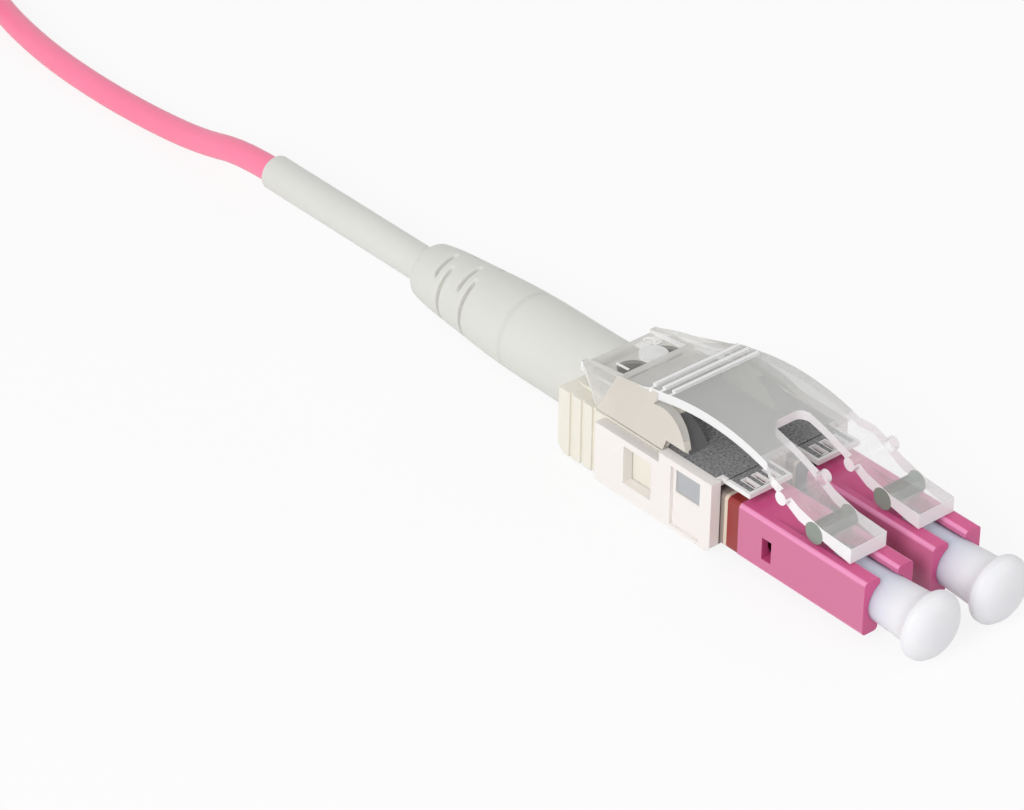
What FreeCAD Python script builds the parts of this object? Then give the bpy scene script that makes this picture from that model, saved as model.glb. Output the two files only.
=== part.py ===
import FreeCAD
import Part

# Duplex uniboot LC fibre connector on its patch cord: two latched-on LC housings with dust caps,
# a milky lower housing, a deck with two tabs, a cream carrier, a clear snap-on latch cover with
# two latch arms, a bend-relief boot, a label sleeve and the cord with its far connector.
#
# Frame: X across the pair, -Y towards the mating face, +Y towards the cord, Z up, millimetres.
# Every sub-part is drawn from one datum: the middle of the mating face, level with the underside
# of the LC housings. Its Placement then moves that datum, so that the origin of the part is on
# the surface it lies on, under the middle of the connector without its cord.

import math
import os

import Sketcher
from FreeCAD import Placement, Rotation, Vector

SIZES = [
    # LC housings
    ("pitch", 6.25, "distance between the two fibre axes"),
    ("housing_width", 4.42, "width of one LC housing"),
    ("housing_height", 4.2, "height of one LC housing"),
    ("housing_length", 11.9, "length of one LC housing"),
    ("housing_round", 0.35, "rounding of its long edges"),
    ("nose_bore", 3.5, "diameter of the bore round the ferrule"),
    ("nose_depth", 5.2, "depth of that bore"),
    ("slot_width", 1.6, "width of the slots above and below the bore"),
    ("slot_depth", 4.4, "depth of those slots"),
    ("horn_round", 0.3, "rounding of the horns beside the slots"),
    ("stop_wall", 0.7, "wall that stops the ferrule flange"),
    ("throat_bore", 2.2, "diameter of the hole in that wall"),
    ("spring_bore", 3.3, "diameter of the spring chamber"),
    ("key_middle", 9.15, "distance of the side windows from the mating face"),
    ("key_length", 0.9, "length of a side window"),
    ("key_bottom", 1.04, "height of the lower edge of a side window"),
    ("key_height", 1.7, "height of a side window"),
    ("channel_width", 2.9, "width of the channel under a latch arm"),
    ("channel_depth", 0.45, "depth of that channel"),
    ("channel_front", 2.6, "front end of the channel"),
    ("channel_floor_end", 7.0, "where the floor of the channel starts to rise"),
    ("channel_rear", 9.6, "rear end of the channel"),
    # fits
    ("slide_gap", 0.05, "radial clearance of a running fit"),
    ("seat_gap", 0.02, "clearance between flat faces that seat on each other"),
    # ferrule train
    ("ferrule_bore", 1.25, "diameter of a ferrule"),
    ("ferrule_recess", 0.25, "how far the ferrule tip stays behind the mating face"),
    ("ferrule_travel", 0.6, "how far a ferrule can be pushed back"),
    ("flange_ring", 2.9, "diameter of the flange ring"),
    ("flange_ring_length", 0.95, "length of the flange ring"),
    ("flange_hub", 2.0, "diameter of the hub behind the ring"),
    ("flange_hub_length", 1.0, "length of the hub"),
    ("flange_tail", 1.5, "diameter of the tail tube"),
    ("flange_tail_length", 1.5, "length of the tail tube"),
    ("spring_wire", 0.3, "wire of the ferrule spring"),
    ("spring_turns", 4, "turns of the ferrule spring"),
    ("fibre_jacket", 0.9, "diameter of a buffered fibre"),
    ("fibre_straight", 3.0, "where the fibres' bend ends ahead of the chamber's rear wall"),
    # collars
    ("collar_length", 2.9, "length of the square collar behind a housing"),
    ("collar_inset", 0.03, "how far the collar stays inside the housing outline"),
    ("spigot_length", 1.7, "length of the spigot that pushes the spring"),
    ("fibre_bore", 2.0, "bore of the collar"),
    # dust caps
    ("cap_insertion", 4.6, "how far a dust cap reaches into the bore"),
    ("cap_reach", 5.0, "how far a dust cap stands out in front"),
    ("cap_neck_end", 3.6, "diameter of the neck where it meets the knob"),
    ("cap_knob", 5.0, "diameter of the knob"),
    ("cap_knob_length", 2.0, "length of the knob"),
    ("cap_round", 0.3, "chamfer of the knob"),
    ("cap_bore", 1.4, "bore that clears the ferrule"),
    # lower housing
    ("floor_drop", 0.95, "how far the lower housing reaches below the LC housings"),
    ("shell_width", 12.6, "width of the lower housing"),
    ("shell_front", 13.6, "front edge of the lower housing"),
    ("shell_rear", 25.2, "rear edge of the lower housing"),
    ("shell_top", 5.2, "height of its front side walls"),
    ("shell_step", 18.8, "where its side walls step down"),
    ("shell_low_top", 4.4, "height of its side walls behind the step"),
    ("shell_wall", 0.85, "side wall thickness"),
    ("plug_gap", 0.115, "clearance of the plugs inside its side walls"),
    ("shell_floor", 0.8, "floor thickness"),
    ("shell_bevel", 0.7, "bevel of the long lower edges"),
    ("shell_nose_bevel", 1.1, "bevel of the lower front edge"),
    ("window_front", 19.5, "front edge of the tall side window"),
    ("window_length", 2.8, "length of the tall side window"),
    ("window_bottom", 0.9, "lower edge of the tall side window"),
    ("window_height", 3.0, "height of the tall side window"),
    ("panel_front", 14.7, "front edge of the sunk side panel"),
    ("panel_length", 2.9, "length of the sunk side panel"),
    ("panel_depth", 0.3, "depth of the sunk side panel"),
    ("panel_bottom", 0.0, "lower edge of the sunk side panel"),
    ("peep_height", 1.8, "height of the window in that panel"),
    ("peep_edge", 0.25, "frame left round that window"),
    # deck
    ("deck_thickness", 0.6, "thickness of the deck plate"),
    ("tab_thickness", 0.35, "thickness of its tabs"),
    ("deck_front", 13.85, "front edge of the deck between its tabs"),
    ("deck_rear", 24.4, "rear edge of the deck"),
    ("tab_front", 11.2, "front edge of the two tabs"),
    ("tab_width", 3.9, "width of a tab"),
    ("tab_slot_width", 0.45, "width of the slots in a tab"),
    ("tab_slot_length", 1.2, "length of those slots"),
    ("tab_slot_rim", 0.4, "rim left in front of those slots"),
    ("tab_slot_pitch", 0.95, "distance between those slots"),
    ("tab_slots", 3, "number of slots in a tab"),
    ("tab_line", 0.12, "width and depth of the line across a tab"),
    ("tab_root", 0.48, "distance of that line from the front edge of the deck"),
    # carrier
    ("carrier_gap", 0.05, "clearance of the carrier in the lower housing"),
    ("socket_depth", 1.0, "depth of the sockets that hold the collars"),
    ("socket_gap", 0.05, "clearance of a collar in its socket"),
    ("socket_end_gap", 0.08, "clearance of a collar from the floor of its socket"),
    ("way_length", 1.3, "wall between the sockets and the fibre chamber"),
    ("chamber_rear", 24.0, "rear of the fibre chamber"),
    ("chamber_width", 8.8, "width of the fibre chamber"),
    ("chamber_floor", 0.7, "floor of the fibre chamber"),
    ("block_width", 10.6, "width of the rear block"),
    ("block_rear", 30.1, "rear face of the rear block"),
    ("block_top", 4.4, "top of the rear block"),
    ("block_bottom", -0.8, "underside of the rear block"),
    ("block_toe", 0.6, "bevel of its lower rear edge"),
    ("rib_width", 0.3, "width of the grooves in its sides"),
    ("rib_depth", 0.16, "depth of those grooves"),
    ("rib_pitch", 1.15, "distance between those grooves"),
    ("rib_count", 3, "number of grooves in each side"),
    ("cable_height", 2.25, "height of the cord axis"),
    # saddle
    ("saddle_front", 17.3, "front toe of the saddle"),
    ("saddle_crest", 21.4, "where its curved front reaches the top"),
    ("saddle_lift", 0.65, "gap between the saddle and the cover above its rear"),
    ("saddle_crest_lift", 0.46, "gap between the saddle and the cover above its crest"),
    ("saddle_sill", 0.1, "height of its upright lower edge above the deck"),
    ("saddle_front_half", 4.95, "half width of its foot at the front"),
    ("saddle_front_top_half", 3.6, "half width of its top at the front"),
    ("saddle_front_top", 7.6, "height that its front sides slope up to"),
    ("saddle_middle", 22.0, "where its sides start to flatten"),
    ("saddle_middle_half", 4.8, "half width of its foot there"),
    ("saddle_middle_top_half", 3.6, "half width of its top there"),
    ("saddle_middle_top", 7.0, "height that its sides slope up to there"),
    ("saddle_rear_half", 3.9, "half width of its foot at the rear"),
    ("saddle_rear_top_half", 1.8, "half width of its top at the rear"),
    ("saddle_bulge", 1.0, "how far behind its toe the curved front edge is checked"),
    ("saddle_bulge_top", 6.35, "height of the curved front edge there"),
    ("saddle_open_half", 3.2, "half width of the opening between its cheeks"),
    ("saddle_open_rear", 22.8, "rear end of that opening"),
    # latch cover
    ("cover_skin", 0.72, "thickness of the cover"),
    ("cover_rear", 29.95, "rear edge of the cover"),
    ("cover_rear_half", 3.37, "half width of the cover at its rear edge"),
    ("cover_half", 4.25, "half width of the cover at its middle"),
    ("cover_half_from", 22.4, "where the cover reaches that width"),
    ("cover_rear_top", 5.85, "height of the cover at its rear edge"),
    ("panel_top", 6.4, "height of the cover at the front of its sunk rear panel"),
    ("panel_edge", 26.2, "front of the sunk rear panel"),
    ("panel_sink", 0.3, "depth of the sunk rear panel at its rear edge"),
    ("panel_wall", 0.5, "depth of the sunk rear panel at its front"),
    ("panel_rim", 0.45, "width of the rim beside the sunk panel"),
    ("boss_size", 2.1, "diameter of the round boss in that panel"),
    ("boss_x", 0.9, "distance of the boss from the middle of the panel"),
    ("boss_back", 1.12, "distance of the boss's middle behind the front of the panel"),
    ("boss_top", 5.98, "height of the boss"),
    ("ridge_top", 7.9, "height of the cover at the rearmost grip ridge"),
    ("ridge_front_top", 8.35, "height of the cover in front of the grip ridges"),
    ("ridge_front", 19.6, "where the cover's crown begins"),
    ("ridge_rear", 22.0, "rearmost grip ridge"),
    ("ridge_pitch", 0.95, "distance between the grip ridges"),
    ("ridge_size", 0.36, "width of a grip ridge"),
    ("ridge_lift", 0.2, "height of a grip ridge"),
    ("crown_top", 8.6, "highest point of the cover"),
    ("crown_middle", 17.2, "where that highest point is"),
    ("arm_bend", 9.6, "where the arms turn down"),
    ("arm_bend_top", 7.4, "height of the cover there"),
    ("shoulder", 8.4, "where an arm is bent down further"),
    ("shoulder_top", 7.0, "height of an arm there"),
    ("shoulder_bottom", 6.1, "underside of an arm there"),
    ("shoulder_thickness", 1.0, "thickness of an arm in front of its shoulder"),
    ("shoulder_taper", 1.0, "length over which the cover narrows to its arms"),
    ("ear_middle", 8.2, "distance of the ears from the mating face"),
    ("ear_height", 6.55, "height of the ears' middle"),
    ("ear_radius", 0.5, "radius of an ear"),
    ("ear_half", 2.1, "half length of a pair of ears"),
    ("toe_length", 1.1, "length of the toe under the front of an arm"),
    ("toe_lift", 0.15, "how far the toe rises over that length"),
    ("arm_half", 1.62, "half width of the front of an arm"),
    ("arm_front", 2.0, "front face of an arm"),
    ("arm_front_top", 5.6, "height of that face"),
    ("arm_front_bottom", 4.45, "underside of an arm at that face"),
    ("arm_knee", 6.9, "where an arm starts to slope down gently"),
    ("arm_knee_top", 6.3, "height of an arm there"),
    ("arm_step", 4.7, "where the front block of an arm begins"),
    ("arm_step_top", 5.75, "height of an arm there"),
    ("gap_half", 1.5, "half width of the window between the arms"),
    ("gap_rear", 13.2, "rear edge of that window"),
    ("gap_round", 0.8, "corner radius of that window"),
    ("lug_radius", 0.8, "radius of the lug that an arm rocks on"),
    ("lug_middle", 5.45, "distance of the lugs from the mating face"),
    ("lug_half", 1.6, "half length of a lug"),
    ("wing_half", 5.85, "half width of the wings at their lower edge"),
    ("wing_bottom", 5.15, "height of the lower edge of the wings"),
    ("wing_clear", 0.55, "clearance between the wings and the edges of the deck"),
    ("wing_lift", 0.55, "gap under the wings over the higher side walls"),
    ("wing_skin", 0.5, "thickness of the wings"),
    ("wing_crest", 21.2, "where the curved front edge of the wings meets the cover"),
    ("wing_front", 17.05, "foot of the curved front edge of the wings"),
    ("wing_step", 0.15, "distance of the wings' lower step behind the one of the side walls"),
    ("wing_bulge", 18.32, "distance at which that curved edge is checked"),
    ("wing_bulge_top", 6.78, "height of the curved edge there"),
    ("wing_reach", 0.5, "how far in front of their edge the wings are drawn"),
    ("wing_overlap", 0.4, "how far the wings reach into the cover's skin"),
    ("wing_tuck", 0.1, "how far the wings' upper edge stays under the cover's top"),
    ("wing_rear", 25.6, "foot of the sloping rear edge of the wings"),
    # boot, cable post and sleeve
    ("boot_front", 30.12, "front face of the boot"),
    ("boot_width", 6.2, "diameter of the boot"),
    ("boot_straight", 9.9, "length of its straight part"),
    ("boot_tail", 4.9, "diameter where the rear rounding begins"),
    ("boot_tail_length", 1.7, "length of that rounding"),
    ("boot_tail_shoulder", 1.1, "length of its first, slight slope"),
    ("boot_tail_slope", 0.12, "drop of that slope"),
    ("boot_rear", 50.2, "rear face of the boot"),
    ("boot_rear_width", 4.3, "diameter at its rear face"),
    ("boot_socket", 4.1, "bore over the crimp sleeve"),
    ("boot_socket_length", 7.2, "length of that bore"),
    ("boot_bore", 2.5, "bore round the cord"),
    ("groove_width", 0.35, "width of a flex groove"),
    ("groove_floor", 1.75, "radius at the floor of the flex grooves"),
    ("side_groove_sweep", 120, "angle of the grooves at the sides of the boot"),
    ("top_groove_sweep", 100, "angle of the grooves above and below"),
    ("side_groove_at", 43.65, "foremost side groove"),
    ("top_groove_at", 44.6, "foremost top groove"),
    ("groove_pitch", 2.7, "distance from one groove to the next like it"),
    ("seam_at", 39.2, "parting line of the boot"),
    ("seam_size", 0.06, "width and depth of that line"),
    ("post_outer", 3.0, "outer diameter of the cable post"),
    ("post_inner", 2.2, "bore of the cable post"),
    ("post_length", 5.6, "length of the post behind the carrier"),
    ("post_flange", 3.6, "diameter of its flange"),
    ("post_flange_length", 1.0, "thickness of its flange"),
    ("post_depth", 2.6, "depth of the post's seat in the carrier"),
    ("crimp_outer", 3.9, "outer diameter of the crimp sleeve"),
    ("crimp_length", 5.4, "length of the crimp sleeve"),
    ("crimp_waist", 0.12, "depth of its waist"),
    ("crimp_shoulder", 1.6, "distance of the waist from either end"),
    ("crimp_slope", 0.3, "length of the slopes beside the waist"),
    ("sleeve_outer", 2.75, "outer diameter of the label sleeve"),
    ("sleeve_length", 18.3, "length of the label sleeve"),
    ("sleeve_gap", 0.05, "clearance of the label sleeve on the cord"),
    # cord
    ("cord_size", 2.0, "diameter of the cord"),
    ("hank_radius", 6.0, "radius of the hank's folds at the middle of the cord"),
    ("hank_run", 39.0, "length of the hank's straight runs"),
    ("hank_layers", 3, "layers of cord in the hank"),
    ("hank_start", 119.75, "distance of the middle of the hank's near fold from the mating face"),
    ("tie_thickness", 0.3, "thickness of the tie round the hank"),
    ("tie_width", 3.0, "width of that tie"),
    ("tie_gap", 0.1, "clearance of the tie round the hank"),
    ("far_shift", 185.3, "distance of the far boot's rear face from the mating face"),
    ("far_side", 1.1, "how far the far connector lies to one side"),
    ("far_entry", 2.7, "how far the cord reaches into the far boot"),
]

doc = FreeCAD.newDocument("DuplexFibreConnector")
sheet = doc.addObject("Spreadsheet::Sheet", "Sizes")
for row, (alias, number, note) in enumerate(SIZES, 1):
    sheet.set(f"A{row}", note)
    sheet.set(f"B{row}", str(number))
    sheet.setAlias(f"B{row}", alias)
doc.recompute()


class Size:
    """A length with the sheet expression it comes from, so that geometry can be bound to it."""

    def __init__(self, number, text):
        self.number = float(number)
        self.text = text

    def __add__(self, other):
        other = as_size(other)
        return Size(self.number + other.number, f"({self.text} + {other.text})")

    def __sub__(self, other):
        other = as_size(other)
        return Size(self.number - other.number, f"({self.text} - {other.text})")

    def __mul__(self, other):
        other = as_size(other)
        return Size(self.number * other.number, f"({self.text} * {other.text})")

    def __truediv__(self, other):
        other = as_size(other)
        return Size(self.number / other.number, f"({self.text} / {other.text})")

    def __neg__(self):
        return Size(-self.number, f"(-1 * {self.text})")

    def __float__(self):
        return self.number

    __radd__ = __add__
    __rmul__ = __mul__

    def __rsub__(self, other):
        return as_size(other) - self


def as_size(value):
    """A plain number as a Size, and a Size as it is."""
    return value if isinstance(value, Size) else Size(value, repr(value))


class Table:
    """Reads a size from the sheet by its alias."""

    def __getattr__(self, alias):
        return Size(getattr(sheet, alias), f"Sizes.{alias}")


S = Table()


def bind(item, prop, value):
    """Tie a property to the sheet."""
    item.setExpression(prop, as_size(value).text)


# Lines that several sub-parts share.
axis_height = S.housing_height / 2
side = S.pitch / 2
middle_y = (S.sleeve_length + S.boot_rear - S.cap_reach) / 2
collar_front = S.housing_length + S.seat_gap
socket_floor = collar_front + S.collar_length + S.socket_end_gap
carrier_front = socket_floor - S.socket_depth
chamber_front = socket_floor + S.way_length
beside_plugs = side + S.housing_width / 2 + S.plug_gap


def place(item, x=0, z=0, y=0):
    """Move a sub-part from the datum on the mating face into the part's frame."""
    bind(item, "Placement.Base.x", x)
    bind(item, "Placement.Base.y", y - middle_y)
    bind(item, "Placement.Base.z", S.floor_drop + z)


def new_body(label, x=0, z=0, y=0):
    body = doc.addObject("PartDesign::Body", label)
    body.Label = label
    place(body, x, z, y)
    return body


def new_sketch(body, name, role, shift=0):
    """Sketch on one of the body's own planes, moved by shift along the plane's normal."""
    sketch = body.newObject("Sketcher::SketchObject", f"{body.Label}_{name}_sketch")
    plane = next(f for f in body.Origin.OriginFeatures if f.Role == role)
    sketch.AttachmentSupport = [(plane, "")]
    sketch.MapMode = "FlatFace"
    bind(sketch, ".AttachmentOffset.Base.z", shift)
    return sketch


def pin(sketch, line, point, x, y):
    """Fix one point of a sketch line at a place bound to the sheet."""
    for kind, value in (("DistanceX", as_size(x)), ("DistanceY", as_size(y))):
        number = sketch.addConstraint(Sketcher.Constraint(kind, line, point, value.number))
        sketch.setExpression(f"Constraints[{number}]", value.text)


def draw(sketch, *outlines):
    """Add closed outlines with every corner pinned.

    A corner is (x, y). A point (x, y, "arc") bends the side it stands on into an arc through it.
    """
    for outline in outlines:
        corners = [c for c in outline if len(c) == 2]
        bends = {outline.index(c) - 1: c for c in outline if len(c) == 3}
        links = []
        for k, corner in enumerate(corners):
            follower = corners[(k + 1) % len(corners)]
            start, end = (Vector(float(x), float(y), 0) for x, y in (corner, follower))
            bend = bends.get(outline.index(corner))
            if bend is None:
                line = sketch.addGeometry(Part.LineSegment(start, end))
                links.append((line, 1, 2))
                continue
            middle = Vector(float(bend[0]), float(bend[1]), 0)
            line = sketch.addGeometry(Part.Arc(start, middle, end))
            turned = (sketch.getPoint(line, 1) - start).Length > 1e-6
            links.append((line, 2, 1) if turned else (line, 1, 2))
            mark = sketch.addGeometry(Part.Point(middle), True)
            pin(sketch, mark, 1, bend[0], bend[1])
            sketch.addConstraint(Sketcher.Constraint("PointOnObject", mark, 1, line))
        for k, (x, y) in enumerate(corners):
            line, head, _ = links[k]
            before, _, tail = links[k - 1]
            sketch.addConstraint(Sketcher.Constraint("Coincident", before, tail, line, head))
            pin(sketch, line, head, x, y)


def draw_circle(sketch, x, y, radius):
    """Add a circle whose middle and radius are bound to the sheet."""
    spot = Vector(float(x), float(y), 0)
    line = sketch.addGeometry(Part.Circle(spot, Vector(0, 0, 1), float(radius)))
    pin(sketch, line, 3, x, y)
    number = sketch.addConstraint(Sketcher.Constraint("Radius", line, float(radius)))
    sketch.setExpression(f"Constraints[{number}]", as_size(radius).text)


def rectangle(x0, x1, y0, y1):
    return [(x0, y0), (x1, y0), (x1, y1), (x0, y1)]


def mirrored(half):
    """Close half an outline, given on the +X side, with its mirror image."""
    return half + [(-as_size(x), y) for x, y in reversed(half)]


def volume(body):
    return body.Tip.Shape.Volume if body.Tip else 0.0


def feature(body, kind, name, sketch):
    item = body.newObject(f"PartDesign::{kind}", f"{body.Label}_{name}")
    item.Profile = sketch
    return item


def pad(body, name, role, outlines, length, shift=0, both=False, reverse=False):
    """Pad outlines drawn on a plane. Pads on XZ_Plane run towards +Y when reversed."""
    before = volume(body)
    sketch = new_sketch(body, name, role, shift)
    draw(sketch, *outlines)
    item = feature(body, "Pad", name, sketch)
    item.SideType = "Symmetric" if both else "One side"
    item.Reversed = reverse
    bind(item, "Length", length)
    doc.recompute()
    assert volume(body) > before, f"{item.Label} adds nothing"
    return item


def pocket(body, name, role, outlines, length=None, shift=0, both=False, reverse=False):
    """Cut outlines drawn on a plane, all the way through both ways if no length is given."""
    before = volume(body)
    sketch = new_sketch(body, name, role, shift)
    draw(sketch, *outlines)
    return cut(body, name, sketch, before, length, both, reverse)


def cut(body, name, sketch, before, length, both=False, reverse=False):
    item = feature(body, "Pocket", name, sketch)
    item.SideType = "Symmetric" if both or length is None else "One side"
    item.Reversed = reverse
    if length is None:
        item.Type = "ThroughAll"
    else:
        bind(item, "Length", length)
    doc.recompute()
    assert volume(body) < before, f"{item.Label} cuts nothing"
    return item


def turn(body, kind, name, outline):
    """Revolve or groove a half section, drawn as (y, radius), round the body's own Y axis."""
    sketch = new_sketch(body, name, "YZ_Plane")
    draw(sketch, outline)
    item = feature(body, kind, name, sketch)
    item.ReferenceAxis = (sketch, ["H_Axis"])
    item.Angle = 360
    doc.recompute()
    return item


def edges(body, test):
    """Names of the body's edges that pass a test."""
    return [f"Edge{k}" for k, edge in enumerate(body.Tip.Shape.Edges, 1) if test(edge)]


def along(edge, axis):
    """Whether an edge is a straight line along X, Y or Z."""
    if not isinstance(edge.Curve, Part.Line):
        return False
    return abs(getattr(edge.Curve.Direction, axis)) > 0.999


def at(edge, **places):
    """Whether the middle of an edge is at the given x, y or z."""
    middle = edge.CenterOfMass
    return all(abs(getattr(middle, axis) - float(place)) < 1e-3 for axis, place in places.items())


def dress(body, kind, name, size, test):
    """Fillet or chamfer the edges that pass a test."""
    tip = body.Tip
    names = edges(body, test)
    assert names, f"{body.Label}: no edge for {name}"
    item = body.newObject(f"PartDesign::{kind}", f"{body.Label}_{name}")
    item.Base = (tip, names)
    bind(item, "Radius" if kind == "Fillet" else "Size", size)
    doc.recompute()
    return item


def lc_housing(label, x):
    """Square tube of one LC plug: nose bore, slots, spring chamber, side windows, arm channel."""
    body = new_body(label, x)
    half = S.housing_width / 2
    top = S.housing_height
    section = rectangle(-half, half, 0, top)
    pad(body, "tube", "XZ_Plane", [section], S.housing_length, reverse=True)
    corners = [(-half, 0), (half, 0), (-half, top), (half, top)]
    dress(body, "Fillet", "long_edges", S.housing_round,
          lambda e: along(e, "y") and any(at(e, x=a, z=b) for a, b in corners))
    slot = rectangle(-S.slot_width / 2, S.slot_width / 2, -1, top + 1)
    pocket(body, "slots", "XZ_Plane", [slot], S.slot_depth)
    horns = [(a * S.slot_width / 2, b) for a in (-1, 1) for b in (0, top)]
    dress(body, "Fillet", "horns", S.horn_round,
          lambda e: along(e, "y") and any(at(e, x=a, z=b) for a, b in horns))
    channel = [
        (S.channel_front, top + 1),
        (S.channel_front, top - S.channel_depth),
        (S.channel_floor_end, top - S.channel_depth),
        (S.channel_rear, top),
        (S.channel_rear, top + 1),
    ]
    pocket(body, "channel", "YZ_Plane", [channel], S.channel_width, both=True)
    key = rectangle(S.key_middle - S.key_length / 2, S.key_middle + S.key_length / 2,
                    S.key_bottom, S.key_bottom + S.key_height)
    pocket(body, "side_windows", "YZ_Plane", [key], S.housing_width + 1, both=True)
    bores = [
        ("nose_bore", S.nose_bore, 0, S.nose_depth),
        ("throat", S.throat_bore, S.nose_depth, S.stop_wall),
        ("spring_chamber", S.spring_bore, S.nose_depth + S.stop_wall,
         S.housing_length - S.nose_depth - S.stop_wall),
    ]
    for name, diameter, start, depth in bores:
        bore(body, name, diameter, start, depth, axis_height)
    return body


def bore(body, name, diameter, start, depth, height, x=0):
    """Round pocket along +Y."""
    before = volume(body)
    sketch = new_sketch(body, name, "XZ_Plane", -as_size(start))
    draw_circle(sketch, x, height, as_size(diameter) / 2)
    return cut(body, name, sketch, before, depth)


def collar(label, x):
    """Square collar behind a housing, with the spigot that closes its spring chamber."""
    body = new_body(label, x)
    half = S.housing_width / 2 - S.collar_inset
    section = rectangle(-half, half, S.collar_inset, S.housing_height - S.collar_inset)
    pad(body, "square", "XZ_Plane", [section], S.collar_length, -collar_front, reverse=True)
    corners = [(a * half, b) for a in (-1, 1)
               for b in (S.collar_inset, S.housing_height - S.collar_inset)]
    dress(body, "Fillet", "long_edges", S.housing_round,
          lambda e: along(e, "y") and any(at(e, x=a, z=b) for a, b in corners))
    sketch = new_sketch(body, "spigot", "XZ_Plane", -collar_front)
    draw_circle(sketch, 0, axis_height, S.spring_bore / 2 - S.slide_gap)
    spigot = feature(body, "Pad", "spigot", sketch)
    bind(spigot, "Length", S.spigot_length)
    doc.recompute()
    bore(body, "fibre_bore", S.fibre_bore, collar_front - S.spigot_length,
         S.collar_length + S.spigot_length, axis_height)
    return body


# The ferrule train, from the tip backwards.
flange_front = S.nose_depth + S.stop_wall + S.seat_gap
ring_rear = flange_front + S.flange_ring_length
hub_rear = ring_rear + S.flange_hub_length
tail_rear = hub_rear + S.flange_tail_length
spigot_front = collar_front - S.spigot_length


def ferrule(label, x):
    """Ceramic ferrule, pressed into its flange."""
    body = new_body(label, x, axis_height)
    radius = S.ferrule_bore / 2
    chamfer = radius / 4
    turn(body, "Revolution", "pin", [
        (S.ferrule_recess, 0),
        (S.ferrule_recess, radius - chamfer),
        (S.ferrule_recess + chamfer, radius),
        (ring_rear, radius),
        (ring_rear, 0),
    ])
    return body


def flange(label, x):
    """Metal flange behind a ferrule: ring, hub and the tail tube that the fibre enters."""
    body = new_body(label, x, axis_height)
    inner = S.ferrule_bore / 2 + S.seat_gap / 2
    fibre = S.fibre_jacket / 2 + S.slide_gap
    turn(body, "Revolution", "flange", [
        (flange_front, inner),
        (flange_front, S.flange_ring / 2),
        (ring_rear, S.flange_ring / 2),
        (ring_rear, S.flange_hub / 2),
        (hub_rear, S.flange_hub / 2),
        (hub_rear, S.flange_tail / 2),
        (tail_rear, S.flange_tail / 2),
        (tail_rear, fibre),
        (ring_rear + S.seat_gap, fibre),
        (ring_rear + S.seat_gap, inner),
    ])
    return body


SPRING_SIDES = 6


def spring(label, x):
    """Compression spring between the flange ring and the collar's spigot."""
    wire = float(S.spring_wire)
    start = ring_rear + S.seat_gap + S.spring_wire / 2
    length = float(spigot_front - S.seat_gap - S.spring_wire / 2 - start)
    radius = float(S.flange_hub / 2 + S.slide_gap) + wire / 2
    helix = Part.makeHelix(length / float(S.spring_turns), length, radius)
    steps = [math.radians(k * 360 / SPRING_SIDES) for k in range(SPRING_SIDES + 1)]
    ring = [Vector(radius + wire / 2 * math.cos(a), 0, wire / 2 * math.sin(a)) for a in steps]
    coil = Part.Wire(helix).makePipeShell([Part.makePolygon(ring)], True, True)
    item = doc.addObject("Part::Feature", label)
    item.Label = label
    item.Shape = coil
    item.Placement = Placement(Vector(), Rotation(Vector(1, 0, 0), -90))
    place(item, x, axis_height, start)
    return item


def dust_cap(label, x):
    """Soft plug: neck in the nose bore, knob to pull it by, blind bore over the ferrule."""
    body = new_body(label, x, axis_height)
    neck = S.nose_bore / 2 - S.slide_gap
    knob = S.cap_knob / 2
    shoulder = S.cap_knob_length - S.cap_reach
    turn(body, "Revolution", "plug", [
        (S.cap_insertion, S.cap_bore / 2),
        (S.cap_insertion, neck),
        (0, neck),
        (shoulder + S.cap_round, S.cap_neck_end / 2),
        (shoulder, knob - S.cap_round),
        (shoulder - S.cap_round, knob),
        (S.cap_round - S.cap_reach, knob),
        (-S.cap_reach, knob - S.cap_round),
        (-S.cap_reach, 0),
        (shoulder, 0),
        (shoulder, S.cap_bore / 2),
    ])
    return body


def lower_housing():
    """Milky U-shaped tray round the carrier, open at both ends, with side windows."""
    body = new_body("lower_housing")
    half = S.shell_width / 2
    bottom = -S.floor_drop
    low_edge = [(half, S.shell_top), (half, bottom + S.shell_bevel), (half - S.shell_bevel, bottom)]
    length = S.shell_rear - S.shell_front
    pad(body, "shell", "XZ_Plane", [mirrored(low_edge)], length, -S.shell_front, reverse=True)
    dress(body, "Chamfer", "nose", S.shell_nose_bevel,
          lambda e: along(e, "x") and at(e, y=S.shell_front, z=bottom))
    inner = half - S.shell_wall
    floor = bottom + S.shell_floor
    way = rectangle(-beside_plugs, beside_plugs, floor, S.shell_top + 1)
    pocket(body, "plug_way", "XZ_Plane", [way], socket_floor - S.shell_front + 1,
           1 - S.shell_front)
    trough = rectangle(-inner, inner, floor, S.shell_top + 1)
    pocket(body, "trough", "XZ_Plane", [trough], S.shell_rear - socket_floor + 1, -socket_floor)
    step = rectangle(S.shell_step, S.shell_rear + 1, S.shell_low_top, S.shell_top + 1)
    pocket(body, "step", "YZ_Plane", [step])
    window = rectangle(S.window_front, S.window_front + S.window_length,
                       S.window_bottom, S.window_bottom + S.window_height)
    pocket(body, "tall_windows", "YZ_Plane", [window])
    panel_top = S.shell_top - S.peep_edge * 2
    sunk = [rectangle(a * (half - S.panel_depth), a * (half + 1), S.panel_bottom, panel_top)
            for a in (-1, 1)]
    pocket(body, "sunk_panels", "XZ_Plane", sunk, S.panel_length, -S.panel_front)
    peep = rectangle(S.panel_front + S.peep_edge, S.panel_front + S.panel_length - S.peep_edge,
                     panel_top - S.peep_edge - S.peep_height, panel_top - S.peep_edge)
    pocket(body, "peep_windows", "YZ_Plane", [peep])
    return body


deck_bottom = S.shell_top - S.deck_thickness


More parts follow.
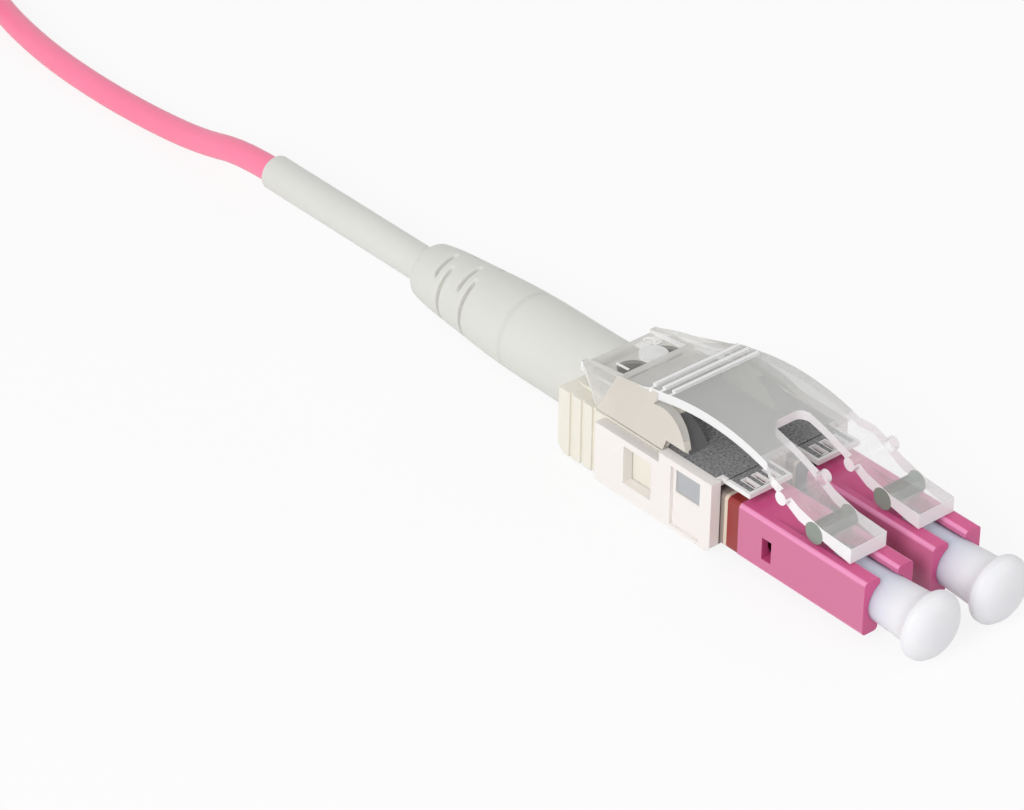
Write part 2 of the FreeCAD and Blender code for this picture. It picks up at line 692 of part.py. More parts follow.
def deck():
    """Plate over the carrier, with a slotted tab above each collar."""
    body = new_body("deck")
    half = S.shell_width / 2 - S.shell_wall - S.carrier_gap
    between_wings = S.wing_half - S.wing_skin - S.wing_clear
    outer = side + S.tab_width / 2
    inner = side - S.tab_width / 2
    right = [
        (between_wings, S.deck_rear),
        (between_wings, S.shell_step),
        (half, S.shell_step),
        (half, S.deck_front),
        (outer, S.deck_front),
        (outer, S.tab_front),
        (inner, S.tab_front),
        (inner, S.deck_front),
    ]
    pad(body, "plate", "XY_Plane", [mirrored(right)], S.deck_thickness, deck_bottom)
    slots = []
    for middle in (-side, side):
        for k in range(int(S.tab_slots.number)):
            x = middle + (k - (S.tab_slots - 1) / 2) * S.tab_slot_pitch
            start = S.tab_front + S.tab_slot_rim
            slots.append(rectangle(x - S.tab_slot_width / 2, x + S.tab_slot_width / 2,
                                   start, start + S.tab_slot_length))
    pocket(body, "tab_slots", "XY_Plane", slots)
    line_start = S.deck_front - S.tab_root
    line = rectangle(line_start, line_start + S.tab_line, S.shell_top - S.tab_line, S.shell_top + 1)
    pocket(body, "tab_lines", "YZ_Plane", [line])
    below = rectangle(S.tab_front - 1, S.deck_front, 0, S.shell_top - S.tab_thickness)
    pocket(body, "tab_undersides", "YZ_Plane", [below])
    return body


def carrier():
    """Cream body: front part in the lower housing, and the ribbed block behind it."""
    body = new_body("carrier")
    half = S.shell_width / 2 - S.shell_wall - S.carrier_gap
    bottom = S.shell_floor - S.floor_drop + S.seat_gap
    block = S.block_width / 2
    block_front = S.shell_rear + S.seat_gap
    for name, reach, start, end in (
        ("tray_fill", half, socket_floor, block_front),
        ("plug_holder", beside_plugs - S.carrier_gap, carrier_front, socket_floor),
    ):
        section = rectangle(-reach, reach, bottom, deck_bottom - S.seat_gap)
        pad(body, name, "XZ_Plane", [section], end - start, -start, reverse=True)
    rear = [
        (block_front, S.block_bottom),
        (S.block_rear - S.block_toe, S.block_bottom),
        (S.block_rear, S.block_bottom + S.block_toe),
        (S.block_rear, S.block_top),
        (block_front, S.block_top),
    ]
    pad(body, "rear_block", "YZ_Plane", [rear], S.block_width, both=True)
    grooves = []
    for edge in (-1, 1):
        for k in range(int(S.rib_count.number)):
            y = block_front + S.rib_pitch * (k + 1)
            grooves.append(rectangle(edge * (block - S.rib_depth), edge * (block + 1),
                                     y, y + S.rib_width))
    pocket(body, "side_grooves", "XY_Plane", grooves)
    reach = S.housing_width / 2 + S.socket_gap
    sockets = [rectangle(x - reach, x + reach, bottom - 1, deck_bottom + 1)
               for x in (-side, side)]
    pocket(body, "sockets", "XZ_Plane", sockets, S.socket_depth, -carrier_front)
    for name, x in (("left_way", -side), ("right_way", side)):
        bore(body, name, S.fibre_bore, carrier_front, chamber_front - carrier_front + 1,
             axis_height, x)
    chamber = rectangle(-S.chamber_width / 2, S.chamber_width / 2, chamber_front, S.chamber_rear)
    pocket(body, "chamber", "XY_Plane", [chamber], S.shell_top, S.chamber_floor, reverse=True)
    bore(body, "rear_way", S.post_inner, S.chamber_rear - 1, S.block_rear - S.chamber_rear + 1,
         S.cable_height)
    bore(body, "post_seat", S.post_flange + 2 * S.slide_gap, S.block_rear - S.post_depth,
         S.post_depth, S.cable_height)
    return body


def saddle():
    """Cream hood on the deck and the rear block, open between two cheeks beside the wings."""
    body = new_body("saddle")
    low = S.block_top + S.seat_gap
    sill = S.shell_top + S.saddle_sill
    sections = []
    for name, y, base, top, height in (
        ("front", S.saddle_front, S.saddle_front_half, S.saddle_front_top_half,
         S.saddle_front_top),
        ("middle", S.saddle_middle, S.saddle_middle_half, S.saddle_middle_top_half,
         S.saddle_middle_top),
        ("rear", S.cover_rear, S.saddle_rear_half, S.saddle_rear_top_half, sill),
    ):
        sketch = new_sketch(body, f"{name}_section", "XZ_Plane", -y)
        draw(sketch, mirrored([(base, low), (base, sill), (top, height)]))
        sections.append(sketch)
    loft = body.newObject("PartDesign::AdditiveLoft", "saddle_hood")
    loft.Profile = sections[0]
    loft.Sections = sections[1:]
    loft.Ruled = True
    doc.recompute()
    drop = S.cover_skin + S.saddle_lift
    slope = (S.ridge_top - S.panel_top) / (S.panel_edge - S.ridge_rear)
    crest = S.panel_top + slope * (S.panel_edge - S.saddle_crest)
    above = [
        (S.cover_rear + 1, S.cover_rear_top - drop),
        (S.cover_rear, S.cover_rear_top - drop),
        (S.panel_edge, S.panel_top - drop),
        (S.saddle_crest, crest - S.cover_skin - S.saddle_crest_lift),
        (S.saddle_front + S.saddle_bulge, S.saddle_bulge_top, "arc"),
        (S.saddle_front, S.shell_top + S.seat_gap),
        (S.saddle_front - 1, S.shell_top + S.seat_gap),
        (S.saddle_front - 1, S.crown_top),
        (S.cover_rear + 1, S.crown_top),
    ]
    pocket(body, "top_line", "YZ_Plane", [above])
    under = rectangle(S.saddle_front - 1, S.shell_rear + S.seat_gap, 0, S.shell_top + S.seat_gap)
    pocket(body, "deck_seat", "YZ_Plane", [under])
    opening = rectangle(-S.saddle_open_half, S.saddle_open_half,
                        S.saddle_front - 1, S.saddle_open_rear)
    pocket(body, "opening", "XY_Plane", [opening])
    return body


def cover_skin():
    """Arched top of the latch cover with its two arms, ears, lugs, grip ridges and sunk panel."""
    body = new_body("cover_skin")
    skin = S.cover_skin
    crown = S.crown_middle - 2
    profile = [
        (S.cover_rear, S.cover_rear_top),
        (S.panel_edge, S.panel_top),
        (S.ridge_rear, S.ridge_top),
        (S.ridge_front, S.ridge_front_top),
        (crown, S.crown_top, "arc"),
        (S.arm_bend, S.arm_bend_top),
        (S.shoulder, S.shoulder_top),
        (S.arm_knee, S.arm_knee_top),
        (S.arm_step, S.arm_step_top),
        (S.arm_front, S.arm_front_top),
        (S.arm_front, S.arm_front_bottom),
        (S.arm_front + S.toe_length, S.arm_front_bottom + S.toe_lift),
        (S.arm_knee, S.arm_knee_top - S.shoulder_thickness),
        (S.shoulder, S.shoulder_bottom),
        (S.arm_bend, S.arm_bend_top - skin),
        (crown, S.crown_top - skin, "arc"),
        (S.ridge_front, S.ridge_front_top - skin),
        (S.ridge_rear, S.ridge_top - skin),
        (S.panel_edge, S.panel_top - skin),
        (S.cover_rear, S.cover_rear_top - skin),
    ]
    reach = side + S.arm_half
    pad(body, "profile", "YZ_Plane", [profile], reach * 2 + 1, both=True)
    plan = mirrored([
        (S.cover_rear_half, S.cover_rear + 1),
        (S.cover_half, S.cover_half_from),
        (S.cover_half, S.arm_bend + S.shoulder_taper),
        (reach, S.arm_bend),
        (reach, S.arm_front - 1),
    ])
    around = rectangle(-reach * 2, reach * 2, S.arm_front - 2, S.cover_rear + 2)
    pocket(body, "plan", "XY_Plane", [around, plan])
    gap = rectangle(-S.gap_half, S.gap_half, S.arm_front - 2, S.gap_rear)
    pocket(body, "gap", "XY_Plane", [gap])
    dress(body, "Fillet", "gap_corners", S.gap_round,
          lambda e: along(e, "z") and at(e, y=S.gap_rear))
    slope = (S.ridge_front_top - S.ridge_top) / (S.ridge_rear - S.ridge_front)
    ridges = []
    for k in range(3):
        y = S.ridge_rear - S.ridge_pitch * k
        top = S.ridge_top + slope * (S.ridge_rear - y)
        half = S.ridge_size / 2
        ridges.append([(y - half, top - skin / 2), (y - half, top + S.ridge_lift),
                       (y + half, top + S.ridge_lift), (y + half, top - skin / 2)])
    pad(body, "ridges", "YZ_Plane", ridges, (S.cover_half - S.ridge_size) * 2, both=True)
    sunk = [
        (S.cover_rear + 1, S.cover_rear_top - S.panel_sink),
        (S.cover_rear, S.cover_rear_top - S.panel_sink),
        (S.panel_edge, S.panel_top - S.panel_wall),
        (S.panel_edge, S.panel_top + 1),
        (S.cover_rear + 1, S.panel_top + 1),
    ]
    pocket(body, "sunk_panel", "YZ_Plane", [sunk], (S.cover_rear_half - S.panel_rim) * 2, both=True)
    boss_foot = S.panel_top - skin
    sketch = new_sketch(body, "boss", "XY_Plane", boss_foot)
    draw_circle(sketch, S.boss_x, S.panel_edge + S.boss_back, S.boss_size / 2)
    boss = feature(body, "Pad", "boss", sketch)
    bind(boss, "Length", S.boss_top - boss_foot)
    doc.recompute()
    for name, x in (("left", -side), ("right", side)):
        cross_pin(body, f"{name}_lug", x, S.lug_half, S.lug_middle,
                  S.housing_height + S.seat_gap + S.lug_radius, S.lug_radius)
        cross_pin(body, f"{name}_ears", x, S.ear_half, S.ear_middle, S.ear_height, S.ear_radius)
    return body


def cross_pin(body, name, x, half, y, z, radius):
    """Round pin across an arm."""
    sketch = new_sketch(body, name, "YZ_Plane", x - half)
    draw_circle(sketch, y, z, radius)
    pin_pad = feature(body, "Pad", name, sketch)
    bind(pin_pad, "Length", half * 2)
    doc.recompute()


def cover_wings():
    """Sloping side walls of the latch cover, from its rear edges down to the lower housing."""
    body = new_body("cover_wings")
    stations = [
        ("front", S.wing_front - S.wing_reach, S.cover_half, S.ridge_front_top),
        ("middle", S.ridge_rear, S.cover_half, S.ridge_top - S.wing_tuck),
        ("rear", S.cover_rear, S.cover_rear_half, S.cover_rear_top - S.wing_tuck / 2),
    ]
    sketches = []
    for name, y, half, top in stations:
        sketch = new_sketch(body, f"{name}_station", "XZ_Plane", -y)
        draw(sketch, [
            (half, top),
            (S.wing_half, S.wing_bottom),
            (S.wing_half - S.wing_skin, S.wing_bottom),
            (half - S.wing_skin, top - S.wing_overlap),
        ])
        sketches.append(sketch)
    loft = body.newObject("PartDesign::AdditiveLoft", "cover_wings_wall")
    loft.Profile = sketches[0]
    loft.Sections = sketches[1:]
    loft.Ruled = True
    doc.recompute()
    foot = S.shell_top + S.wing_lift
    step = S.shell_step + S.wing_step
    front = [
        (S.wing_crest, S.crown_top + 1),
        (S.wing_crest, S.ridge_top - S.cover_skin),
        (S.wing_bulge, S.wing_bulge_top, "arc"),
        (S.wing_front, foot),
        (step, foot),
        (step, 0),
        (S.wing_front - 2, 0),
        (S.wing_front - 2, S.crown_top + 1),
    ]
    pocket(body, "front_edge", "YZ_Plane", [front])
    run = (S.cover_rear - S.wing_rear) / (S.wing_half - S.cover_rear_half)
    rear = [
        (S.cover_rear_half, S.cover_rear + 1),
        (S.cover_rear_half, S.cover_rear),
        (S.wing_half, S.wing_rear),
        (S.wing_half + 1, S.wing_rear - run),
        (S.wing_half + 1, S.cover_rear + 1),
    ]
    pocket(body, "rear_edge", "XY_Plane", [rear])
    mirror = body.newObject("PartDesign::Mirrored", "cover_wings_pair")
    mirror.MirrorPlane = (next(f for f in body.Origin.OriginFeatures if f.Role == "YZ_Plane"), [""])
    mirror.TransformMode = "Whole shape"
    body.Tip = mirror
    doc.recompute()
    return body


def boot():
    """Bend-relief boot: socket over the crimp sleeve, tapering tail with staggered flex grooves."""
    body = new_body("boot", z=S.cable_height)
    socket_end = S.boot_front + S.boot_socket_length
    radius = S.boot_width / 2
    tail_start = S.boot_rear - S.boot_tail_length
    turn(body, "Revolution", "sleeve", [
        (S.boot_front, S.boot_socket / 2),
        (S.boot_front, radius),
        (S.boot_front + S.boot_straight, radius),
        (tail_start, S.boot_tail / 2),
        (tail_start + S.boot_tail_shoulder, S.boot_tail / 2 - S.boot_tail_slope),
        (S.boot_rear, S.boot_rear_width / 2),
        (S.boot_rear, S.boot_bore / 2),
        (socket_end, S.boot_bore / 2),
        (socket_end, S.boot_socket / 2),
    ])
    grooves = [("side", S.side_groove_at, "XY_Plane", S.side_groove_sweep),
               ("top", S.top_groove_at, "YZ_Plane", S.top_groove_sweep)]
    for name, first, role, sweep in grooves:
        for k in range(2):
            y = first + S.groove_pitch * k
            for part, edge in (("a", 1), ("b", -1)):
                flex_groove(body, f"{name}_groove_{k}{part}", role, y, edge, sweep)
    seam = [(S.seam_at, radius - S.seam_size), (S.seam_at, radius + 1),
            (S.seam_at + S.seam_size, radius + 1), (S.seam_at + S.seam_size, radius - S.seam_size)]
    turn(body, "Groove", "seam", seam)
    return body


def flex_groove(body, name, role, y, edge, sweep):
    """Part of a ring cut into the boot, centred on one side of it."""
    before = volume(body)
    sketch = new_sketch(body, name, role)
    inner, outer = edge * S.groove_floor, edge * S.boot_width / 2
    corners = [(y, inner), (y, outer), (y + S.groove_width, outer), (y + S.groove_width, inner)]
    if role == "XY_Plane":
        corners = [(b, a) for a, b in corners]
    draw(sketch, corners)
    item = feature(body, "Groove", name, sketch)
    item.ReferenceAxis = (sketch, ["V_Axis" if role == "XY_Plane" else "H_Axis"])
    item.Midplane = True
    bind(item, "Angle", sweep)
    doc.recompute()
    assert volume(body) < before, f"{name} cuts nothing"


def cable_post():
    """Flanged tube in the carrier's rear face, which the cord's yarns are crimped to."""
    body = new_body("cable_post", z=S.cable_height)
    front = S.block_rear - S.post_depth + S.seat_gap
    turn(body, "Revolution", "post", [
        (front, S.post_inner / 2),
        (front, S.post_flange / 2),
        (front + S.post_flange_length, S.post_flange / 2),
        (front + S.post_flange_length, S.post_outer / 2),
        (S.block_rear + S.post_length, S.post_outer / 2),
        (S.block_rear + S.post_length, S.post_inner / 2),
    ])
    return body


def crimp_sleeve():
    """Metal sleeve pressed over the cable post, with a waist where the tool has gripped it."""
    body = new_body("crimp_sleeve", z=S.cable_height)
    front = S.boot_front + S.slide_gap
    rear = front + S.crimp_length
    outer, inner = S.crimp_outer / 2, S.post_outer / 2 + S.seat_gap
    waist = outer - S.crimp_waist
    turn(body, "Revolution", "sleeve", [
        (front, inner),
        (front, outer),
        (front + S.crimp_shoulder, outer),
        (front + S.crimp_shoulder + S.crimp_slope, waist),
        (rear - S.crimp_shoulder - S.crimp_slope, waist),
        (rear - S.crimp_shoulder, outer),
        (rear, outer),
        (rear, inner),
    ])
    return body


def label_sleeve():
    """Plain tube on the cord behind the boot."""
    body = new_body("label_sleeve", z=S.cable_height)
    inner = S.cord_size / 2 + S.sleeve_gap
    front = S.boot_rear + S.seat_gap
    turn(body, "Revolution", "tube", [
        (front, inner),
        (front, S.sleeve_outer / 2),
        (S.boot_rear + S.sleeve_length, S.sleeve_outer / 2),
        (S.boot_rear + S.sleeve_length, inner),
    ])
    return body


def cord_core():
    """The cord's end inside the boot and the label sleeve."""
    body = new_body("cord_core", z=S.cable_height)
    turn(body, "Revolution", "core", [
        (S.block_rear + S.post_length + S.seat_gap, 0),
        (S.block_rear + S.post_length + S.seat_gap, S.cord_size / 2),
        (S.boot_rear + S.sleeve_length, S.cord_size / 2),
        (S.boot_rear + S.sleeve_length, 0),
    ])
    return body


def tube(label, points, diameter, x=0, z=0):
    """Round tube along straight runs joined by tangent arcs, as wide as the runs allow."""
    spots = [Vector(*map(float, p)) for p in points]
    pieces, radii, last = [], [], spots[0]
    for before, spot, after in zip(spots, spots[1:], spots[2:]):
        into, out = (spot - before), (after - spot)
        reach = 0.45 * min(into.Length, out.Length)
        start = spot - into.normalize() * reach
        end = spot + out.normalize() * reach
        half_turn = into.getAngle(out) / 2
        radii.append(reach / math.tan(half_turn))
        inward = (start + end) / 2 - spot
        rise = radii[-1] / math.cos(half_turn) - radii[-1]
        middle = spot + inward.normalize() * rise
        pieces.append(Part.LineSegment(last, start).toShape())
        pieces.append(Part.Arc(start, middle, end).toShape())
        last = end
    pieces.append(Part.LineSegment(last, spots[-1]).toShape())
    path = Part.Wire(pieces)
    ring = Part.Circle(spots[0], spots[1] - spots[0], float(diameter) / 2).toShape()
    item = doc.addObject("Part::Feature", label)
    item.Label = label
    item.Shape = path.makePipeShell([Part.Wire(ring)], True, False)
    place(item, x, z)
    section = math.pi * float(diameter) ** 2 / 4
    print(f"{label}: length {path.Length:.2f}, radii {min(radii):.1f} to {max(radii):.1f}, "
          f"volume over section x length {item.Shape.Volume / section / path.Length:.4f}")
    return item


def fibre(label, x):
    """Buffered fibre from a flange's tail through its collar to the cable post."""
    beside = x * (S.fibre_jacket / 2 + S.slide_gap) / side
    front = hub_rear + S.seat_gap + S.ferrule_travel
    points = [
        (x, front, axis_height),
        (x, chamber_front, axis_height),
        (beside, S.chamber_rear - S.fibre_straight, S.cable_height),
        (beside, S.block_rear + S.post_length, S.cable_height),
    ]
    return tube(label, points, S.fibre_jacket)


# Points of the free cord: out of the label sleeve, down to the surface, away to the hank.
sleeve_end = S.boot_rear + S.sleeve_length
lying = S.cord_size / 2 - S.floor_drop
hank_lift = S.tie_thickness + S.slide_gap
hank_end = S.hank_start + S.hank_run
ROUTE = [
    (0, sleeve_end, S.cable_height),
    (0.0, 72.6, 2.2),
    (0.1, 77.6, 0.75),
    (0.0, 83.6, lying),
    (-0.4, 90.6, lying),
    (-0.1, 98.2, lying),
    (1.3, 106.2, lying),
    (3.6, 112.6, lying),
    (S.hank_radius - 0.6, 118.4, lying),
    (S.hank_radius, 124.0, lying + hank_lift),
]
# From the strand on top of the hank to the far connector.
upper = lying + hank_lift + S.cord_size * S.hank_layers
far_axis = S.cable_height
TAIL = [
    (S.hank_radius, S.hank_start + 0.45, upper),
    (S.hank_radius + 0.15, 134.0, upper),
    (S.hank_radius, 148.0, upper),
    (S.hank_radius - 0.4, 163.0, upper + 0.1),
    (4.2, 172.0, 5.0),
    (2.0, 179.0, 2.9),
    (S.far_side + 0.02, S.far_shift - 1.3, far_axis + 0.03),
    (S.far_side, S.far_shift + S.far_entry, far_axis),
]


def cord_coil():
    """Outer shape of the hank: layers of cord lying on each other, folded at both ends."""
    body = new_body("cord_coil")
    height = S.cord_size * S.hank_layers
    low = hank_lift - S.floor_drop
    for name, radius in (("hank", S.hank_radius + S.cord_size / 2),
                         ("eye", S.hank_radius - S.cord_size / 2)):
        outline = [
            (radius, S.hank_start),
            (radius, hank_end),
            (0, hank_end + radius, "arc"),
            (-radius, hank_end),
            (-radius, S.hank_start),
            (0, S.hank_start - radius, "arc"),
        ]
        if name == "hank":
            pad(body, name, "XY_Plane", [outline], height, low)
        else:
            pocket(body, name, "XY_Plane", [outline])
    return body


def coil_tie():
    """Tie that holds the hank together and lifts it off the surface."""
    body = new_body("coil_tie", y=S.hank_start + S.hank_run / 2)
    low = -S.floor_drop
    high = upper + S.cord_size / 2 + S.tie_gap
    reach = S.hank_radius + S.cord_size / 2 + S.tie_gap
    opening = rectangle(-reach, reach, low + S.tie_thickness, high)
    reach = reach + S.tie_thickness
    outside = rectangle(-reach, reach, low, high + S.tie_thickness)
    pad(body, "band", "XZ_Plane", [outside, opening], S.tie_width, both=True)
    return body


def latch_cover():
    """The clear cover, moulded in one piece: arched skin, arms and side wings."""
    cover = doc.addObject("Part::MultiFuse", "latch_cover")
    cover.Label = "latch_cover"
    cover.Shapes = [cover_skin(), cover_wings()]
    doc.recompute()
    return cover


def far_piece(source):
    """A piece of the connector at the cord's far end: the near one, turned round and moved."""
    item = doc.addObject("Part::Feature", f"far_{source.Label}")
    item.Label = f"far_{source.Label}"
    item.Shape = source.Shape
    turn_round = Placement(Vector(), Rotation(Vector(0, 0, 1), 180))
    away = Vector(float(TAIL[-1][0]), float(S.far_shift + S.boot_rear - 2 * middle_y), 0)
    item.Placement = Placement(away, Rotation()) * turn_round * source.Placement
    return item


pieces = []
for hand, x in (("left", -side), ("right", side)):
    pieces.append(lc_housing(f"lc_housing_{hand}", x))
    pieces.append(collar(f"collar_{hand}", x))
    pieces.append(dust_cap(f"dust_cap_{hand}", x))
pieces += [lower_housing(), deck(), carrier(), saddle(), latch_cover(), boot()]
doc.recompute()
pieces += [far_piece(piece) for piece in list(pieces)]
for hand, x in (("left", -side), ("right", side)):
    pieces.append(ferrule(f"ferrule_{hand}", x))
    pieces.append(flange(f"ferrule_flange_{hand}", x))
    pieces.append(spring(f"ferrule_spring_{hand}", x))
    pieces.append(fibre(f"fibre_{hand}", x))
pieces += [cable_post(), crimp_sleeve(), label_sleeve(), cord_core(), cord_coil(), coil_tie()]
pieces += [tube("cord", ROUTE, S.cord_size), tube("cord_tail", TAIL, S.cord_size)]
doc.recompute()

failed = [item.Label for item in doc.Objects if {"Invalid", "Error"} & set(item.State)]
failed += [p.Label for p in pieces if p.Shape.isNull() or not p.Shape.isValid()]
if failed:
    raise RuntimeError(f"failed: {failed}")

os.makedirs("parts", exist_ok=True)
for piece in pieces:
    piece.Shape.exportStep(f"parts/{piece.Label}.step")
print(f"{len(pieces)} sub-parts written")
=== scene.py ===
import math

import bmesh
import bpy
import numpy as np
from bpy.props import FloatProperty, FloatVectorProperty, IntProperty, PointerProperty
from mathutils import Matrix, Vector


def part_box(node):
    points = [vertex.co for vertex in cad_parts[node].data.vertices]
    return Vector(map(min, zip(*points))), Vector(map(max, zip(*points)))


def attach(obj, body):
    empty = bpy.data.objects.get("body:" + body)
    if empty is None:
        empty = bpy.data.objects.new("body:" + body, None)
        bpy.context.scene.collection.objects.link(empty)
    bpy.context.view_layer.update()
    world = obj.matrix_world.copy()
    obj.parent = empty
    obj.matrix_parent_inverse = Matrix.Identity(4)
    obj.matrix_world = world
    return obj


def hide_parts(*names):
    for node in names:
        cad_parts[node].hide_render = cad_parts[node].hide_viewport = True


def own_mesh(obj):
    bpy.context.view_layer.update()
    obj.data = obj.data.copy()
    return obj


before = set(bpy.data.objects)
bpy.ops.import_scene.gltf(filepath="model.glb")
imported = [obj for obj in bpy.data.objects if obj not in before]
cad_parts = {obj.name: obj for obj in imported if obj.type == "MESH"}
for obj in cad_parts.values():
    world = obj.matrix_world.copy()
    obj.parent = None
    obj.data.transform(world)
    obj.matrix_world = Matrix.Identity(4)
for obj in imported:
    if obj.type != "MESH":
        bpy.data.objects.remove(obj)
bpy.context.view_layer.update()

bl_info = {
    "name": "Duplex LC fibre connector",
    "version": (1, 0, 0),
    "blender": (4, 5, 0),
    "location": "View3D > Sidebar > Connector",
    "description": "Dresses a duplex uniboot fibre connector and its patch cord",
    "category": "Object",
}

MM = 0.001
HANDS = ("left", "right")


# ---- places read from the frame

def low(name):
    """Corner of a CAD node's box where x, y and z are least."""
    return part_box(name)[0]


def high(name):
    """Corner of a CAD node's box where x, y and z are greatest."""
    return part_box(name)[1]


def axis_of(name):
    """x and z of the line through the middle of a CAD node, along y."""
    a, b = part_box(name)
    return (a.x + b.x) / 2, (a.z + b.z) / 2


MATING_Y = low("lc_housing_left").y
SIDE_X = axis_of("lc_housing_right")[0]
CORD_Z = axis_of("label_sleeve")[1]
FAR_X = axis_of("far_boot")[0]

# The deck's tabs, the cover's ridges and its lugs, for finishes that follow them.
TAB_HALF, TAB_LENGTH, RIM = 0.00195, 0.00265, 0.00026
SLOT_HALF, SLOT_PITCH, SLOT_START, SLOT_END = 0.000225, 0.00095, 0.0004, 0.0016
SLOT_RIM = 0.00009
RIDGES = (-0.00975, -0.0107, -0.01165)
RIDGE_HALF, CREST_Z = 0.00014, 0.0086
ARM_STEP_Y, ARM_Y, WING_Y, REAR_Y = -0.02705, -0.0205, -0.0148, -0.0076
BOSS, BOSS_RADIUS = (0.0009, -0.00443), 0.00105
SHADES = (((0.0014, -0.0049), 0.0014), ((-0.0013, -0.0047), 0.0011))
SHADE_Y, WING_END_DROP = -0.0055, 0.0004
LUG_Y, LUG_Z, LUG_RADIUS = -0.0263, 0.00597, 0.00083
PANEL_Y, PANEL_Z, PANEL_SLOPE = -0.0018, 0.0065, 0.0933
PANE_INNER, PANE_OUTER = 0.00545, 0.0059
PANE_Y, PANE_Z = (-0.01678, -0.01442), (0.00362, 0.00538)
BEYOND = 1.0  # past every face

FIGURES = (("1", -0.0017, -0.0042), ("2", 0.0022, -0.0029))
FIGURE_SIZE, FIGURE_RAISE = 0.0019, 0.00006

# How far a face's direction leans on an axis: upright, level and sideways faces of the cover.
UPRIGHT, LEVEL, SIDEWAYS, AHEAD = 0.3, 0.75, (0.2, 0.9), 0.5

# Start and width of the bands where a colour changes: by place, the collars' lips ahead of the
# lower housing, the painted shade on its foot and the caps' bluish necks, and by direction, the
# painted light on the housings' upright sides, the painted highlight on their rounded edges and the
# painted shade on the saddle's front.
LIP_STARTS, LIP_WIDTH, FOOT_SHADE_START, FOOT_SHADE_WIDTH = (-0.0006, -0.0003), 0.00002, -0.00055, 0.00003
NECK_START, NECK_WIDTH = MATING_Y - 0.0022, 0.0026
SIDE_LIGHT_START, SIDE_LIGHT_WIDTH, EDGE_HIGHLIGHT_START, EDGE_HIGHLIGHT_WIDTH = 0.4, 0.3, 0.12, 0.3
FRONT_SHADE_START, FRONT_SHADE_WIDTH = 0.25, 0.05

TURNS = 96
FERRULE_FLOAT, SPRING_WIRE, SPRING_TURNS, SPRING_STEPS, WIRE_STEPS = 0.0006, 0.0003, 4, 40, 12

# The boot, in millimetres from its front face. A groove's numbers are its place and, in degrees,
# the middle and the sweep of its arc.
BOOT_LENGTH, BOOT_STRAIGHT, SEAM = 20.08, 9.9, 9.11
BOOT_OUTER, BOOT_TAIL, BOOT_REAR, TAIL_LENGTH = 3.1, 2.45, 2.15, 1.7
BOOT_ROUNDING, FRONT_EDGE, BOOT_TURNS = [0.15, 3.0, 1.0, 0.35], 0.2, 200
SOCKET_RADIUS, SOCKET_DEPTH, BOOT_BORE = 2.1, 7.2, 1.25
GROOVES, GROOVE_PITCH = ((13.53, 0, 128), (14.48, 114, 50)), 2.7
GROOVE_WIDTH, GROOVE_DEPTH, GROOVE_MIDDLE, GROOVE_FADE = 0.46, 0.5, 0.175, 0.16
GROOVED_ABOVE = 2.2
SEAM_WIDTH, SEAM_DEPTH = 0.16, 0.05
SLEEVE_BORE = 0.00105

# A dust cap in millimetres: (distance from the tip, radius), and how far each corner is rounded.
CAP_OUTSIDE = [(9.6, 0.7), (9.6, 1.66), (6.0, 1.66), (2.0, 1.88), (1.3, 2.5), (0.85, 2.5),
               (0.25, 2.0), (0.0, 0.9), (0.0, 0.0002)]
CAP_ROUNDING = [0.12, 1.0, 0.45, 0.12, 0.15, 0.4, 0.4]
CAP_BORE = [(2.0, 0.0002), (2.0, 0.7), (9.6, 0.7)]
CAP_CROWN = (0.0, 0.02)

# A place in the far connector is this turn of the near one: x and y are taken from these sums.
TURN = Vector((FAR_X, low("boot").y + high("far_boot").y, 0))

# The free cord's route, from the label sleeve to the hank, and from the hank to the far boot.
ROUTE = [
    (0.0, 0.03675, 0.0032), (0.0, 0.04085, 0.00315), (0.0001, 0.04585, 0.0017),
    (0.0, 0.05185, 0.001), (-0.0004, 0.05885, 0.001), (-0.0001, 0.06645, 0.001),
    (0.0013, 0.07445, 0.001), (0.0036, 0.08085, 0.001), (0.0054, 0.08665, 0.001),
    (0.006, 0.09225, 0.00135),
]
TAIL = [
    (0.006, 0.08845, 0.00735), (0.00615, 0.10225, 0.00735), (0.006, 0.11625, 0.00735),
    (0.0056, 0.13125, 0.00745), (0.0042, 0.14025, 0.00595), (0.002, 0.14725, 0.00385),
    (0.00112, 0.15225, 0.00323), (0.0011, 0.15625, 0.0032),
]
# The hank's near fold starts this far before the route's end, and a smooth line through a fold's
# points runs at this share of their radius.
HANK_LEAD, FOLD_SHARE = 0.00425, 0.97

FLOOR_HALF, FLOOR_DROP, FLOOR_GLOW = 1.2, 0.00002, 0.86
CAMERA_PLACE = (-0.178324, -0.195687, 0.173348)
CAMERA_RIGHT, CAMERA_AHEAD = (0.75929, -0.65065, 0.01123), (0.54964, 0.63199, -0.54633)
LAMP_TARGET = Vector((0, -0.01, 0))
LAMPS = (("key_lamp", (-0.46, -0.14, 0.30), 0.30), ("fill_lamp", (0.28, -0.36, 0.30), 0.34))


# ---- settings

def colour_setting(name, description, default):
    """A property that holds the colour of a piece."""
    return FloatVectorProperty(name=name, description=description, default=default,
                               subtype="COLOR", min=0, max=1)


class LCF_Cord(bpy.types.PropertyGroup):
    """Sizes and colour of the free cord."""

    diameter: FloatProperty(name="Diameter", description="Outer diameter of the cord",
                            default=0.002, unit="LENGTH", precision=5)
    stock_length: FloatProperty(name="Free length", description="Length from sleeve to far boot",
                                default=0.470, unit="LENGTH")
    fold_radius: FloatProperty(name="Fold radius", description="Radius of the hank's folds",
                               default=0.006, unit="LENGTH", precision=5)
    run: FloatProperty(name="Run", description="Length of the hank's straight runs",
                       default=0.039, unit="LENGTH", precision=5)
    layers: IntProperty(name="Layers", description="Loops of the hank, one on another",
                        default=3, min=1, max=6)
    colour: colour_setting("Jacket", "Colour of the cord's jacket", (1.0, 0.235, 0.38))


